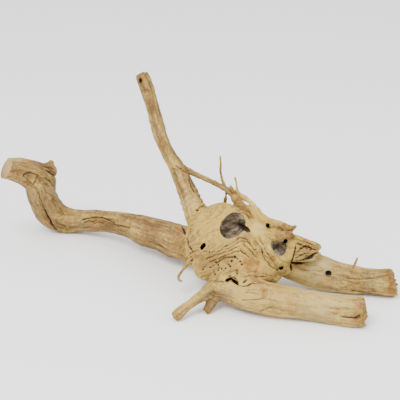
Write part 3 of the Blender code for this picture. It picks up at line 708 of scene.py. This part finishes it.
def marks_at(points, facing):
    """Depth and darkness of the marks at each point: 1 - (distance / half width)^2, on the surface
    within 10 mm of the mark's own depth. The half width thins to a third at both ends and comes and
    goes with a cloud. A shallow groove of brown three times as wide goes with each dark mark."""
    spots, depth = seen(points)
    spots = spots + MARK_WOBBLE_PIXELS * np.stack([waves(points, 9, 51), waves(points, 9, 52)], 1)
    ragged = 0.6 + 0.8 * cloud(points / 4.2, 53)
    sink, dark_and_shade, halo = np.zeros(len(points)), np.zeros(len(points)), np.zeros(len(points))
    for pixels, half_width, deep, darkness in MARKS.values():
        line = np.array(pixels, float)
        inside = ((spots > line.min(0) - 5) & (spots < line.max(0) + 5)).all(1)
        rows = np.flatnonzero(inside & (facing > 0))
        off, passed = along_line(spots[rows], line)
        share = np.clip(passed / (len(line) - 1), 0.02, 0.98)
        width = half_width * (0.35 + 0.65 * np.sqrt(np.sin(np.pi * share)))
        off = off * depth[rows] / FOCAL_LENGTH_PIXELS / width
        own_depth = np.interp(passed, np.arange(len(line)), cast(pixels))
        on_skin = fade(np.abs(depth[rows] - own_depth), *MARK_SURFACE) * facing[rows]
        core = np.clip(1 - (off / ragged[rows]) ** 2, 0, 1) * on_skin
        beside = np.clip(1 - (off / 3) ** 2, 0, 1) ** 2 * on_skin * np.sqrt(np.sin(np.pi * share))
        sink[rows] += deep * (0.8 * core + 0.25 * beside)
        # A mark's darkness is partly the wood's own dark and partly painted shadow inside the crack.
        dark_and_shade[rows] = np.maximum(dark_and_shade[rows], darkness * np.minimum(1, 1.5 * core))
        halo[rows] = np.maximum(halo[rows], darkness * beside)
    return sink, dark_and_shade, halo


skin_tree = BVHTree.FromObject(wood, bpy.context.evaluated_depsgraph_get())
mark_sink, mark_dark_and_shade, mark_halo = marks_at(places, facing)
print(len(MARKS), "marks, the deepest", mark_sink.max().round(1), "mm")

# %% [markdown]
# ## Rough and pitted patches
# Where the wood broke or rotted, its surface is crumbly. A patch is a spot in the picture with a
# radius there, and the height and width of its lumps in millimetres. Worms left small round pits, most
# of them in one field on the front. Each pit is a dimple about three millimetres across.

# %% Patches
ROUGH_PATCHES = {
    "elbow_nub": ((51.5, 161.5), 5.5, 1.2, 2.4),
    "elbow_tear": ((50, 171), 7, 0.5, 2.6),
    "pit_field": ((228, 265), 16, 0.55, 3.2),
    "rosy_folds": ((258, 279), 17, 0.5, 3.0),
    "slab": ((306, 249), 15, 1.0, 3.0),
    "beak": ((286, 230), 9, 0.5, 3.4),
    "front_end": ((364, 309), 9, 1.0, 3.4),
    "rear_end": ((394, 284), 10, 0.9, 3.6),
    "snag_end": ((204, 310), 6, 0.6, 3.0),
    "flute": ((99, 222), 12, 0.35, 2.8),
}
PIT_PATCHES = {
    "field_left": ((220, 267), 11, 0.85),
    "field_right": ((235, 263), 11, 0.85),
    "low_left": ((204, 269), 8, 0.4),
    "under_slit": ((207, 251), 5, 0.5),
    "dome": ((212, 214), 8, 0.12),
}
PIT_CELL = 4.2
PIT_EDGE = (0.22, 0.5)
PATCH_SURFACE = (25, 40)


def patch_weight(centre, radius, points, facing):
    """1 in the middle of a patch and 0 outside its radius in the picture, on the surface within 25 mm
    of the depth that the patch's middle has."""
    spots, depth = seen(points)
    gap = np.linalg.norm(spots - np.array(centre), axis=1) + 0.25 * radius * waves(points, 9, 61)
    same_surface = fade(np.abs(depth - cast([centre])[0]), *PATCH_SURFACE)
    return fade(gap, 0.45 * radius, radius) * same_surface * facing


patch_rise = np.zeros(len(places))
for order, (centre, radius, height, wide) in enumerate(ROUGH_PATCHES.values()):
    lumps = cloud(places / wide, 70 + order) + 0.5 * cloud(places / wide * 2.1, 90 + order) - 0.75
    patch_rise += 2 * height * lumps * patch_weight(centre, radius, places, np.maximum(facing, 0.4))
pit = np.zeros(len(places))
for order, (centre, radius, share) in enumerate(PIT_PATCHES.values()):
    hole = fade(pits_in(places / PIT_CELL, share, 110 + order), *PIT_EDGE)
    pit = np.maximum(pit, hole * patch_weight(centre, radius, places, facing))
print(f"patches rise by {patch_rise.min():.1f} to {patch_rise.max():.1f} mm")
print(f"pits cover {np.mean(pit > 0.5):.1%} of the skin")

# %% [markdown]
# ## Relief of the whole surface
# Every side gets what the front has: long flutes and fine fibres along the limbs, checks where the
# wood dried and split, wrinkles across the bends, cords round the knot's back, folds on its front.
# All of it is one number for each point, the distance that the point moves along its own normal. A set
# of flutes has its number round the limb, its height as a share of the radius, and its twist. A set of
# ripples has its limb, middle, half length, wavelength and height. A torn end has the height of its
# teeth and its slant.

# %% Relief
FLUTES = ((2, 0.045, 70, 1), (3, 0.035, -50, 2), (7, 0.022, 38, 3))
RIPPLES = (
    ("upright", 176, 20, 7.9, 0.6), ("upright", 178, 13, 3.3, 0.3), ("upright", 112, 10, 2.5, 0.22),
    ("left", 282, 30, 2.9, 0.16), ("front", 150, 14, 3.4, 0.15),
)
TORN_ENDS = {
    "front": (2.2, 2.0), "rear": (2.8, 6.0), "stub": (1.2, 0.0), "snag": (2.0, 0.0), "upright": (1.0, 0.0),
}
PIT_DEPTH = 2.0
CORD_HEIGHT = 1.5

rise = 0.55 * waves(places, 34, 3) + 0.3 * waves(places, 12, 4) + patch_rise - mark_sink - PIT_DEPTH * pit
shift = np.zeros_like(places)
torn = np.zeros(len(places))

behind = np.maximum(fade(places[:, 1], -3, -19), fade(normals[:, 2], -0.5, -0.1))
cords = waves(places * [0.45, 1.0, 0.8] + 3 * waves(places, 40, 8)[:, None], 17, 9)
on_knot = fade(np.linalg.norm(places - KNOT_MIDDLE, axis=1), KNOT_REACH - 20, KNOT_REACH)
rise += on_knot * behind * CORD_HEIGHT * cords

for order, (name, route) in enumerate(LIMBS.items()):
    at = limb_coordinates(places, route)
    around = np.arctan2(at["side"], at["front"])
    on_limb = fade(at["reach"], 1.35, 1.9) * fade(at["along"], at["last"] - 45, at["last"] - 5)
    for count, height, pitch, lead in FLUTES:
        angle = count * around + lead * order + at["along"] / pitch
        rise += on_limb * at["radius"] * height * np.cos(angle)
    for limb_name, middle, half, wavelength, height in RIPPLES:
        if limb_name == name:
            turn = 2 * np.pi * at["along"] / wavelength
            turn = turn + 0.6 * np.sin(2 * around) + 1.2 * waves(places, 16, 5)
            rise += on_limb * height * np.sin(turn) * fade(np.abs(at["along"] - middle), 0.4 * half, half)
    if name in TORN_ENDS:
        teeth, slant = TORN_ENDS[name]
        fibres = waves(places * [0.25, 1, 1], 9, 20 + order) + 0.5 * waves(places, 5, 40 + order)
        fibres += 0.8 * cloud(places * [0.12, 0.7, 0.7], 45 + order) - 0.4
        at_end = fade(at["along"], 1.0, 12.0) * fade(at["reach"], 1.25, 1.6)
        ragged_end = fade(at["along"] + 5 * waves(places, 7, 46), 2, 11)
        torn = np.maximum(torn, ragged_end * fade(at["reach"], 1.25, 1.6))
        height = np.clip((places[:, 2] - route[0][2]) / route[0][3], -1, 1)
        shift += at["way"] * ((teeth * fibres + slant * np.clip(height + 0.4, 0, 1.4)) * at_end)[:, None]
print(f"flutes and torn ends move points by up to {np.abs(rise).max():.1f} mm")

# %% [markdown]
# ## Fibres, checks and folds
# Fibres are a cloud drawn out along the grain. Where such a cloud passes its middle value it leaves
# long thin closed lines, which look just like drying checks, so the same helper cuts those. The
# folds on the knot are a sine of the swirl, stronger on the front, and its back has checks that follow
# the swirl. The broken slab gets thin ledges, one for each of its layers.

# %% Fibres
CHECK_DEPTH = 0.8
FOLD_PITCH, FINE_FOLD_PITCH = 5.4, 2.1
SLAB_PATCH = ((306, 249), 17)
LEDGE_HEIGHT = 2.2

fibre = cloud(grain * [1 / 26, 1 / 3.4, 1 / 3.4], 11) - 0.5
fine_fibre = cloud(grain * [1 / 11, 1 / 1.8, 1 / 1.8], 12) - 0.5
rise += limb * (0.75 * fibre + 0.35 * fine_fibre)

check_field = cloud(grain * [1 / 60, 1 / 6, 1 / 6], 13)
check_patch = fade(cloud(places / 26, 14), 0.66, 0.5) * fade(cloud(grain / 16, 19), 0.5, 0.35)
check = fade(np.abs(check_field - 0.5), 0.0, 0.035) * check_patch * limb
rise -= CHECK_DEPTH * check

swirl_front = knot * np.maximum(facing, 0.35)
folds = np.sin(2 * np.pi * swirl / FOLD_PITCH) * (0.35 + 0.65 * cloud(places / 14, 15))
fine_folds = np.sin(2 * np.pi * swirl / FINE_FOLD_PITCH + 2 * waves(places, 11, 16))
rise += swirl_front * (0.62 * folds + 0.14 * fine_folds)
rise += knot * (0.7 * (cloud(places / 5, 17) - 0.5) + 0.5 * (cloud(places / 2.4, 18) - 0.5))
knot_field = cloud(np.stack([swirl / 4.5, places[:, 0] / 40, places[:, 1] / 40], 1), 28)
knot_check = fade(np.abs(knot_field - 0.5), 0.0, 0.04)
knot_check *= fade(cloud(places / 18, 29), 0.6, 0.45) * knot * (1 - facing)
rise -= CHECK_DEPTH * knot_check

ledge = (slab_layer_at(places) + 0.35 * waves(places, 9, 27)) % 1
slab = patch_weight(*SLAB_PATCH, places, np.maximum(facing, 0.5))
rise += slab * LEDGE_HEIGHT * (ledge - 0.5) * fade(ledge, 0.9, 1.0)

moved = places + normals * (rise * (1 - sawn))[:, None] + shift
print(f"checks on {np.mean(check > 0.5):.1%} of the skin")

# %% [markdown]
# ## What each point is like
# The colours need to know more than a place: whether a point is a crack, a hollow's wall, a worn
# ridge, a sawn face, brown or bleached, and where shade is painted. Each of these is a number from 0 to
# 1 at every point, kept as an attribute of the mesh. The shader then reads them and adds the finer
# pattern. Stains and painted shade have their spots in the picture, brown and ochre also gather on the
# torn ends, and the painted shade spots count only in hollows. Some brown spots, under the beak and
# round the nostril, are painted shade as well. Cracks and pits are dark partly of their own and partly
# with painted shadow, and grooves, broad dips and the small hollows get painted shade.
# A limb's tones run from its outer end to the knot, from 0 for cream to 1 for brown.

# %% Colour fields
LIMB_TONES = {
    "left": (0.44, 0.6, 0.72, 0.56, 0.64, 0.74, 0.78, 0.76, 0.7),
    "upright": (0.56, 0.68, 0.8, 0.82, 0.7, 0.55, 0.3),
    "front": (0.34, 0.2, 0.16, 0.2, 0.26),
    "rear": (0.5, 0.4, 0.34, 0.24, 0.16),
    "stub": (0.6, 0.5, 0.4),
    "snag": (0.95, 0.85, 0.7),
}
TWIG_TONES = {
    "arch": 0.74, "upright_twig": 0.7, "stump_twig": 0.74, "fine_twig": 0.4, "ribbon": 0.14,
    "back_twig": 0.8, "hook": 0.66, "sprig": 0.5,
}
STAINS_AND_SHADE = {
    "shade": [
        ((221, 236), 9, 0.9), ((241, 226), 4.5, 1.0), ((246, 229), 4, 0.8), ((273.5, 247), 4, 0.8),
        ((285, 241), 4, 1.0),
    ],
    # Brown stains; the spots under the beak and round the nostril are painted shade.
    "brown": [
        ((41, 179), 6, 0.7), ((47, 168), 8, 0.9), ((48.5, 199), 4, 0.5), ((51, 207), 5, 0.5),
        ((60, 226), 6, 0.5), ((99, 222), 17, 0.6), ((88, 228), 6, 0.5), ((124, 216), 5, 0.6),
        ((151, 110), 5, 0.6), ((155, 121), 6, 0.7), ((163, 143), 6, 0.6), ((182, 169), 5, 0.6),
        ((195, 182), 5, 0.4), ((210, 303), 8, 0.5), ((228, 265), 13, 0.55), ((281, 269), 6, 0.7),
        ((285, 239), 6, 0.7), ((366, 312), 7, 0.8), ((394, 284), 8, 0.7), ((39.5, 179), 5, 0.9),
        ((304, 256), 13, 0.6), ((270, 226), 5, 0.6), ((239, 203), 6, 0.9), ((283, 234), 8, 0.8),
        ((362, 313), 10, 0.6), ((251, 265), 8, 0.9), ((208, 263), 14, 0.5), ((150, 243), 16, 0.35),
        ((177, 240), 9, 0.3), ((242, 207), 7, 1.1), ((246, 212), 4, 1.1), ((289, 230), 10, 1.2),
        ((222, 259), 17, 0.5), ((309, 247), 14, 0.4), ((364, 313), 9, 1.4), ((47, 166), 7, 0.8),
        ((196, 256), 6, 0.5), ((272, 226), 4, 0.9),
    ],
    "rose": [
        ((33, 162.5), 6, 0.6), ((178, 233), 9, 0.5), ((283, 233), 8, 0.4), ((309, 244), 10, 0.2),
        ((357.6, 305.4), 4, 1.2), ((362, 299), 3, 0.9), ((353, 320), 3.6, 0.9),
        ((260, 280), 14, 0.25), ((227, 296), 7, 0.35), ((150, 232), 12, 0.25),
    ],
    "ochre": [
        ((264.6, 294), 4.2, 1.4), ((250.6, 265), 8, 1.4), ((262, 279), 12, 0.6),
        ((252, 262.6), 4, 0.7), ((206, 262), 6, 0.5), ((22, 168), 6, 0.45), ((30, 179), 5, 0.5),
        ((97, 221), 10, 0.5), ((306.5, 310), 3.6, 0.5), ((361, 319), 6, 0.8), ((277, 288), 9, 0.5),
        ((206, 236), 10, 0.35), ((213, 222), 7, 0.3), ((291, 226), 6, 0.5), ((391, 278), 8, 0.7),
        ((44, 204), 7, 0.3), ((364, 318), 7, 1.0), ((366, 306), 6, 0.8), ((394, 290), 8, 0.6),
        ((385, 272), 9, 0.4),
    ],
    "grey": [
        ((13, 162), 5, 0.5), ((219, 298), 10, 0.5), ((300, 274), 12, 0.4), ((303, 256), 9, 0.5),
        ((246, 236), 6, 0.35), ((190, 203), 8, 0.35), ((190, 246), 6, 0.3), ((320, 285), 20, 0.3),
        ((374, 284), 11, 0.6), ((322, 268), 14, 0.7),
    ],
    "bleached": [
        ((251, 203), 6, 1.0), ((188, 202), 9, 0.3), ((258, 228), 9, 0.8), ((266, 246), 9, 1.1),
        ((322, 268), 14, 0.5), ((320, 306), 25, 0.4), ((52, 192), 6, 0.35), ((236, 250), 12, 0.4),
        ((243, 232), 6, 0.5),
    ],
}
KNOT_TONE = 0.16
KNOT_SIZE = 56
TWIG_WEIGHT = 6
SPOT_SPREAD = 1.25
SPOT_ROUND_THE_SIDE = 0.35


def limb_tone(points):
    """Each limb's tone at a point counts by 1 / reach^5, and the knot's by 1 / (distance / its size)^5,
    so the tones melt into one another. A twig's tone counts several times over."""
    knot_weight = (KNOT_SIZE / np.maximum(np.linalg.norm(points - KNOT_MIDDLE, axis=1), 5)) ** 5
    total, weights = KNOT_TONE * knot_weight, knot_weight.copy()
    for name, route in {**LIMBS, **TWIGS}.items():
        at = limb_coordinates(points, route)
        tones = np.atleast_1d(LIMB_TONES.get(name, TWIG_TONES.get(name)))
        weight = np.maximum(at["reach"], 0.3) ** -5.0 * fade(at["reach"], 1.5, 3.0)
        weight *= TWIG_WEIGHT if name in TWIGS else 1
        total += weight * np.interp(at["along"] / at["last"], np.linspace(0, 1, len(tones)), tones)
        weights += weight
    return total / weights


def in_hollow(points, normals, names):
    """1 on the walls of the named hollows: inside an egg or little beyond, and facing its middle. The
    outer skin beside the rim faces away, so the colour stops sharply at the rim."""
    wall = np.zeros(len(points))
    for name in names:
        place, radii, roll = HOLLOWS[name]
        inwards = np.array(place) - points
        unit = inwards @ egg_turn(roll, HOLLOW_TILT).T / np.array(radii)
        near = fade(np.linalg.norm(unit, axis=1), 1.05, 1.05 + 1.5 / min(radii))
        faces_in = (normals * inwards).sum(1) / np.linalg.norm(inwards, axis=1)
        wall = np.maximum(wall, near * fade(faces_in, 0.34, 0.08))
    return wall


def hollowness(piece, points, normals, rounds):
    """How far the mean of each point's neighbours, taken rounds times over, lies outside the point
    along its normal: more than 0 in a groove, less than 0 on a ridge. Means are sums over edges."""
    edges = np.empty(len(piece.data.edges) * 2, np.int32)
    piece.data.edges.foreach_get("vertices", edges)
    a, b = edges[0::2], edges[1::2]
    size = len(points)
    count = np.bincount(a, minlength=size) + np.bincount(b, minlength=size)
    mean = points
    for _ in range(rounds):
        sums = [np.bincount(a, mean[b, i], size) + np.bincount(b, mean[a, i], size) for i in range(3)]
        mean = np.stack(sums, 1) / count[:, None]
    return ((mean - points) * normals).sum(1)


put(wood, moved)
moved_normals = read(wood, "normal")
groove = hollowness(wood, moved, moved_normals, 4)
broad_groove = hollowness(wood, moved, moved_normals, 30)
hollow = in_hollow(places, normals, WIDE_HOLLOWS)
pocket_shade = in_hollow(places, normals, [name for name in HOLLOWS if name not in WIDE_HOLLOWS])

# Painted shade and shadow: grooves and the small hollows are darkened, and cracks, checks and pits are dark
# partly of their own and partly as painted shadow.
darkest_marks_and_shade = np.maximum.reduce([mark_dark_and_shade, 0.5 * check, 0.6 * knot_check, pit, 0.8 * pocket_shade])
fields = {
    "tone": limb_tone(places),
    "dark_and_shade": np.clip(darkest_marks_and_shade + 0.6 * fade(groove, 0.7, 0.15), 0, 1),
    "worn": fade(-broad_groove, 0.5, 0.05),
    # Painted shade: broad dips are drawn browner.
    "sunk_shade": fade(broad_groove, 1.2, 0.1),
    "hollow": hollow,
    "sawn": sawn,
    "limb": limb,
    "swirl": swirl,
}
for kind, spots in STAINS_AND_SHADE.items():
    strength = np.zeros(len(places))
    for centre, radius, amount in spots:
        spot = patch_weight(centre, SPOT_SPREAD * radius, places, np.maximum(facing, SPOT_ROUND_THE_SIDE))
        strength = np.maximum(strength, amount * spot)
    fields[kind] = strength
torn_brown = 0.8 * torn * cloud(places / 2.6, 47)
fields["brown"] = np.maximum.reduce([fields["brown"], 0.55 * mark_halo, torn_brown])
fields["shade"] *= hollow
fields["ochre"] = np.maximum(fields["ochre"], 1.2 * torn * cloud(places / 4, 48))
print({name: round(float(values.mean()), 2) for name, values in fields.items()})

# %% [markdown]
# ## Level feet, and fewer faces
# The root has lain on sand until its low points were worn flat: whatever is under the floor is moved
# up to it. The fine grid has more faces than the look needs, so Decimate merges those on smooth
# stretches and keeps the rest. It carries the attributes along, blended as the points merge.

# %% Finish the mesh
MOST_TRIANGLES = 196000

for name, values in {**fields, "grain": grain}.items():
    kind = "FLOAT_VECTOR" if values.ndim == 2 else "FLOAT"
    attribute = wood.data.attributes.new(name, kind, "POINT")
    attribute.data.foreach_set("vector" if values.ndim == 2 else "value", values.astype(np.float32).ravel())
moved[:, 2] = np.maximum(moved[:, 2], 0)
put(wood, moved)
fewer = wood.modifiers.new("fewer_faces", "DECIMATE")
fewer.ratio = MOST_TRIANGLES / (2 * len(wood.data.polygons))
apply_modifiers(wood)
wood.name = "driftwood_root"
wood.data.shade_smooth()
triangles = sum(len(polygon.vertices) - 2 for polygon in wood.data.polygons)
print(triangles, "triangles, attributes:", [attribute.name for attribute in wood.data.attributes])

# %% [markdown]
# ## Colours of weathered wood
# Sun and water bleach bare root wood to cream, and leave tan and brown where bark lay longest. Grey
# comes from damp, rose and ochre from resin. The shader mixes these by the point's numbers and by a few
# noises: some drawn out along the grain of a limb, one along the folds of the knot, the rest mottled.
# On top of the wood's colours it paints shade into dips, grooves and hollows, and shadow deep in cracks
# and pits.

# %% Wood material
CREAM = (178, 151, 80)
TAN = (140, 113, 58)
BROWN = (94, 69, 34)
KNOT_TINT = (255, 250, 226)
ROSE = (146, 88, 60)
OCHRE = (138, 94, 32)
GREY = (118, 106, 80)
BLEACHED = (208, 186, 124)
WALL = (88, 74, 58)
WALL_LIGHT = (172, 155, 126)
SHADE = (52, 41, 30)
SAWN = (172, 141, 86)
# The crack colours also paint shade into grooves and small hollows, and shadow deep in cracks, holes and
# pits.
CRACK_EDGE_AND_SHADE = (88, 60, 28)
CRACK_SHADOW = (36, 24, 15)
SPOT_COLOURS = {
    "brown": (BROWN, 0.85), "rose": (ROSE, 0.8), "ochre": (OCHRE, 0.65), "grey": (GREY, 0.7),
    "bleached": (BLEACHED, 0.75),
}


def linear(colour):
    """A colour given as 0 to 255 on screen, as the light it stands for: ((c + 0.055) / 1.055)^2.4."""
    return (*(((value / 255 + 0.055) / 1.055) ** 2.4 for value in colour), 1)


class Nodes:
    """Short ways to add the nodes of one material, each fed by numbers or by other nodes' outputs."""

    def __init__(self, material):
        material.use_nodes = True
        self.tree = material.node_tree
        self.shader = self.tree.nodes["Principled BSDF"]

    def feed(self, socket, value):
        if isinstance(value, bpy.types.NodeSocket):
            self.tree.links.new(value, socket)
        else:
            socket.default_value = value

    def field(self, name, output="Fac"):
        node = self.tree.nodes.new("ShaderNodeAttribute")
        node.attribute_name = name
        return node.outputs[output]

    def math(self, operation, first, second=0.0, clamp=False):
        node = self.tree.nodes.new("ShaderNodeMath")
        node.operation = operation
        node.use_clamp = clamp
        self.feed(node.inputs[0], first)
        self.feed(node.inputs[1], second)
        return node.outputs[0]

    def vector_math(self, operation, first, second=(0, 0, 0)):
        node = self.tree.nodes.new("ShaderNodeVectorMath")
        node.operation = operation
        self.feed(node.inputs[0], first)
        self.feed(node.inputs[1], second)
        return node.outputs["Value" if operation == "LENGTH" else "Vector"]

    def scaled(self, vector, factors):
        return self.vector_math("MULTIPLY", vector, factors)

    def noise(self, vector, scale, detail, roughness=0.55, distortion=0.0):
        node = self.tree.nodes.new("ShaderNodeTexNoise")
        self.feed(node.inputs["Vector"], vector)
        node.inputs["Scale"].default_value = scale
        node.inputs["Detail"].default_value = detail
        node.inputs["Roughness"].default_value = roughness
        node.inputs["Distortion"].default_value = distortion
        return node.outputs["Fac"]

    def mix(self, factor, first, second, blend="MIX"):
        node = self.tree.nodes.new("ShaderNodeMix")
        node.data_type = "RGBA"
        node.blend_type = blend
        node.clamp_factor = True
        self.feed(node.inputs[0], factor)
        for socket, value in ((node.inputs[6], first), (node.inputs[7], second)):
            self.feed(socket, linear(value) if isinstance(value, tuple) and len(value) == 3 else value)
        return node.outputs[2]

    def between(self, value, low, high, new_low=0.0, new_high=1.0):
        """The value's place between low and high, eased and carried over to new_low and new_high."""
        node = self.tree.nodes.new("ShaderNodeMapRange")
        node.interpolation_type = "SMOOTHSTEP"
        self.feed(node.inputs["Value"], value)
        ends = {"From Min": low, "From Max": high, "To Min": new_low, "To Max": new_high}
        for name, number in ends.items():
            node.inputs[name].default_value = number
        return node.outputs["Result"]


def wood_material():
    """Bare wood. Base colour = a ramp over tone, fibre and mottling, then stains, walls, cracks and painted
    shade.
    """
    material = bpy.data.materials.new("weathered_wood")
    n = Nodes(material)
    place = n.tree.nodes.new("ShaderNodeTexCoord").outputs["Object"]
    grain, limb, swirl = n.field("grain", "Vector"), n.field("limb"), n.field("swirl")

    fibre = n.noise(n.scaled(grain, (0.03, 0.3, 0.3)), 1.0, 6, 0.66, 0.5)
    streak = n.noise(n.scaled(grain, (0.009, 0.11, 0.11)), 1.0, 4, 0.6, 0.6)
    folded = n.tree.nodes.new("ShaderNodeCombineXYZ")
    n.feed(folded.inputs[0], n.math("MULTIPLY", swirl, 0.32))
    folded_place = n.vector_math("ADD", folded.outputs[0], n.scaled(place, (45, 45, 45)))
    fold_lines = n.noise(folded_place, 1.0, 6, 0.66, 0.5)
    broad = n.noise(place, 26, 3, 0.5)
    mottle = n.noise(place, 150, 4, 0.6, 0.8)
    speckle = n.noise(place, 360, 3, 0.7, 0.3)

    pattern = n.mix(limb, fold_lines, fibre)
    tone = n.math("ADD", n.field("tone"), n.between(pattern, 0.33, 0.67, -0.28, 0.28))
    tone = n.math("ADD", tone, n.math("MULTIPLY", n.between(streak, 0.35, 0.65, -0.2, 0.2), limb))
    tone = n.math("ADD", tone, n.between(broad, 0.3, 0.7, -0.22, 0.22))
    tone = n.math("ADD", tone, n.between(mottle, 0.33, 0.67, -0.13, 0.13))
    tone = n.math("ADD", tone, n.between(speckle, 0.33, 0.67, -0.15, 0.15))
    # Painted shade: the broad dips are drawn browner.
    tone = n.math("ADD", tone, n.math("MULTIPLY", n.field("sunk_shade"), 0.34))
    tone = n.math("SUBTRACT", tone, n.math("MULTIPLY", n.field("worn"), 0.14), True)
    colour = n.mix(n.between(tone, 0.0, 0.5), CREAM, TAN)
    colour = n.mix(n.between(tone, 0.45, 1.0), colour, BROWN)

    patchy = n.between(n.noise(place, 150, 5, 0.75, 0.8), 0.36, 0.58, 0.15, 1.0)
    for kind, (spot_colour, strength) in SPOT_COLOURS.items():
        amount = n.math("MULTIPLY", n.math("MULTIPLY", n.field(kind), patchy), strength)
        colour = n.mix(amount, colour, spot_colour)
    colour = n.mix(n.between(n.noise(place, 17, 2, 0.5), 0.5, 0.75, 0.0, 0.28), colour, GREY)
    warm = n.between(n.noise(place, 38, 5, 0.7, 0.5), 0.5, 0.72, 0.0, 0.4)
    colour = n.mix(warm, colour, OCHRE)
    colour = n.mix(n.math("SUBTRACT", 1.0, limb), colour, KNOT_TINT, "MULTIPLY")

    wall_noise = n.noise(n.scaled(place, (60, 100, 150)), 1.0, 5, 0.65, 1.2)
    wall = n.mix(n.between(wall_noise, 0.36, 0.66), WALL, WALL_LIGHT)
    colour = n.mix(n.field("hollow"), colour, wall)
    colour = n.mix(n.math("MULTIPLY", n.field("shade"), 0.8), colour, SHADE)

    off_axis = n.vector_math("LENGTH", n.scaled(grain, (0, 1, 1)))
    ring = n.math("SINE", n.math("MULTIPLY", off_axis, 4.2))
    cut_face = n.mix(n.between(ring, -1, 1, 0.0, 0.22), SAWN, BROWN)
    colour = n.mix(n.field("sawn"), colour, cut_face)

    # Cracks, pits, grooves and the small hollows darken to brown and then near black: partly the wood's own
    # dark, partly painted shade and shadow.
    ragged = n.math("ADD", n.field("dark_and_shade"), n.between(speckle, 0.3, 0.7, -0.16, 0.16))
    ragged = n.math("MULTIPLY", ragged, n.between(n.field("dark_and_shade"), 0.0, 0.15))
    colour = n.mix(n.between(ragged, 0.08, 0.8, 0.0, 0.9), colour, CRACK_EDGE_AND_SHADE)
    n.feed(n.shader.inputs["Base Color"], n.mix(n.between(ragged, 0.68, 1.02), colour, CRACK_SHADOW))
    n.feed(n.shader.inputs["Roughness"], n.between(n.math("ADD", pattern, speckle), 0.6, 1.4, 0.86, 0.62))
    n.shader.inputs["Specular IOR Level"].default_value = 0.3

    bump = n.tree.nodes.new("ShaderNodeBump")
    bump.inputs["Strength"].default_value = 0.8
    bump.inputs["Distance"].default_value = 0.0012
    height = n.math("ADD", n.math("MULTIPLY", pattern, 0.7), n.math("MULTIPLY", speckle, 0.4))
    n.feed(bump.inputs["Height"], height)
    n.feed(n.shader.inputs["Normal"], bump.outputs["Normal"])
    return material


wood.data.materials.clear()
wood.data.materials.append(wood_material())
print("the wood's shader has", len(wood.data.materials[0].node_tree.nodes), "nodes")

# %% [markdown]
# ## Floor and light
# The picture was taken on white, under light from all round, with hardly a shadow. A bright even sky
# does most of that. One large soft light from above and the front left gives the folds their form.

# %% Studio
def floor_material():
    material = bpy.data.materials.new("white_floor")
    n = Nodes(material)
    place = n.tree.nodes.new("ShaderNodeTexCoord").outputs["Object"]
    n.feed(n.shader.inputs["Base Color"], n.mix(n.noise(place, 3, 3), (250, 250, 250), (246, 246, 246)))
    n.shader.inputs["Roughness"].default_value = 0.9
    return material


def soft_light(name, place, aim, size, power):
    data = bpy.data.lights.new(name, "AREA")
    data.shape = "DISK"
    data.size = size
    data.energy = power
    light = bpy.data.objects.new(name, data)
    light.location = place
    light.rotation_euler = (Vector(aim) - Vector(place)).to_track_quat("-Z", "Y").to_euler()
    bpy.context.scene.collection.objects.link(light)
    return light


bpy.ops.mesh.primitive_plane_add(size=60, location=(0, 0, 0))
floor = bpy.context.object
floor.name = "floor"
floor.data.materials.append(floor_material())
soft_light("key", (-0.7, -1.1, 1.9), (0, 0, 0), 1.2, 60)
soft_light("fill", (1.3, -0.6, 1.2), (0, 0, 0), 1.2, 12)
world = bpy.data.worlds.new("even_sky")
world.use_nodes = True
world.node_tree.nodes["Background"].inputs["Color"].default_value = (1, 1, 1, 1)
world.node_tree.nodes["Background"].inputs["Strength"].default_value = 1.55
bpy.context.scene.world = world
print("two lights and an even sky")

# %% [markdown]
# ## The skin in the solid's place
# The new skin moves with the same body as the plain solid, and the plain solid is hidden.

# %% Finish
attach(wood, "root")
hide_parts("driftwood")
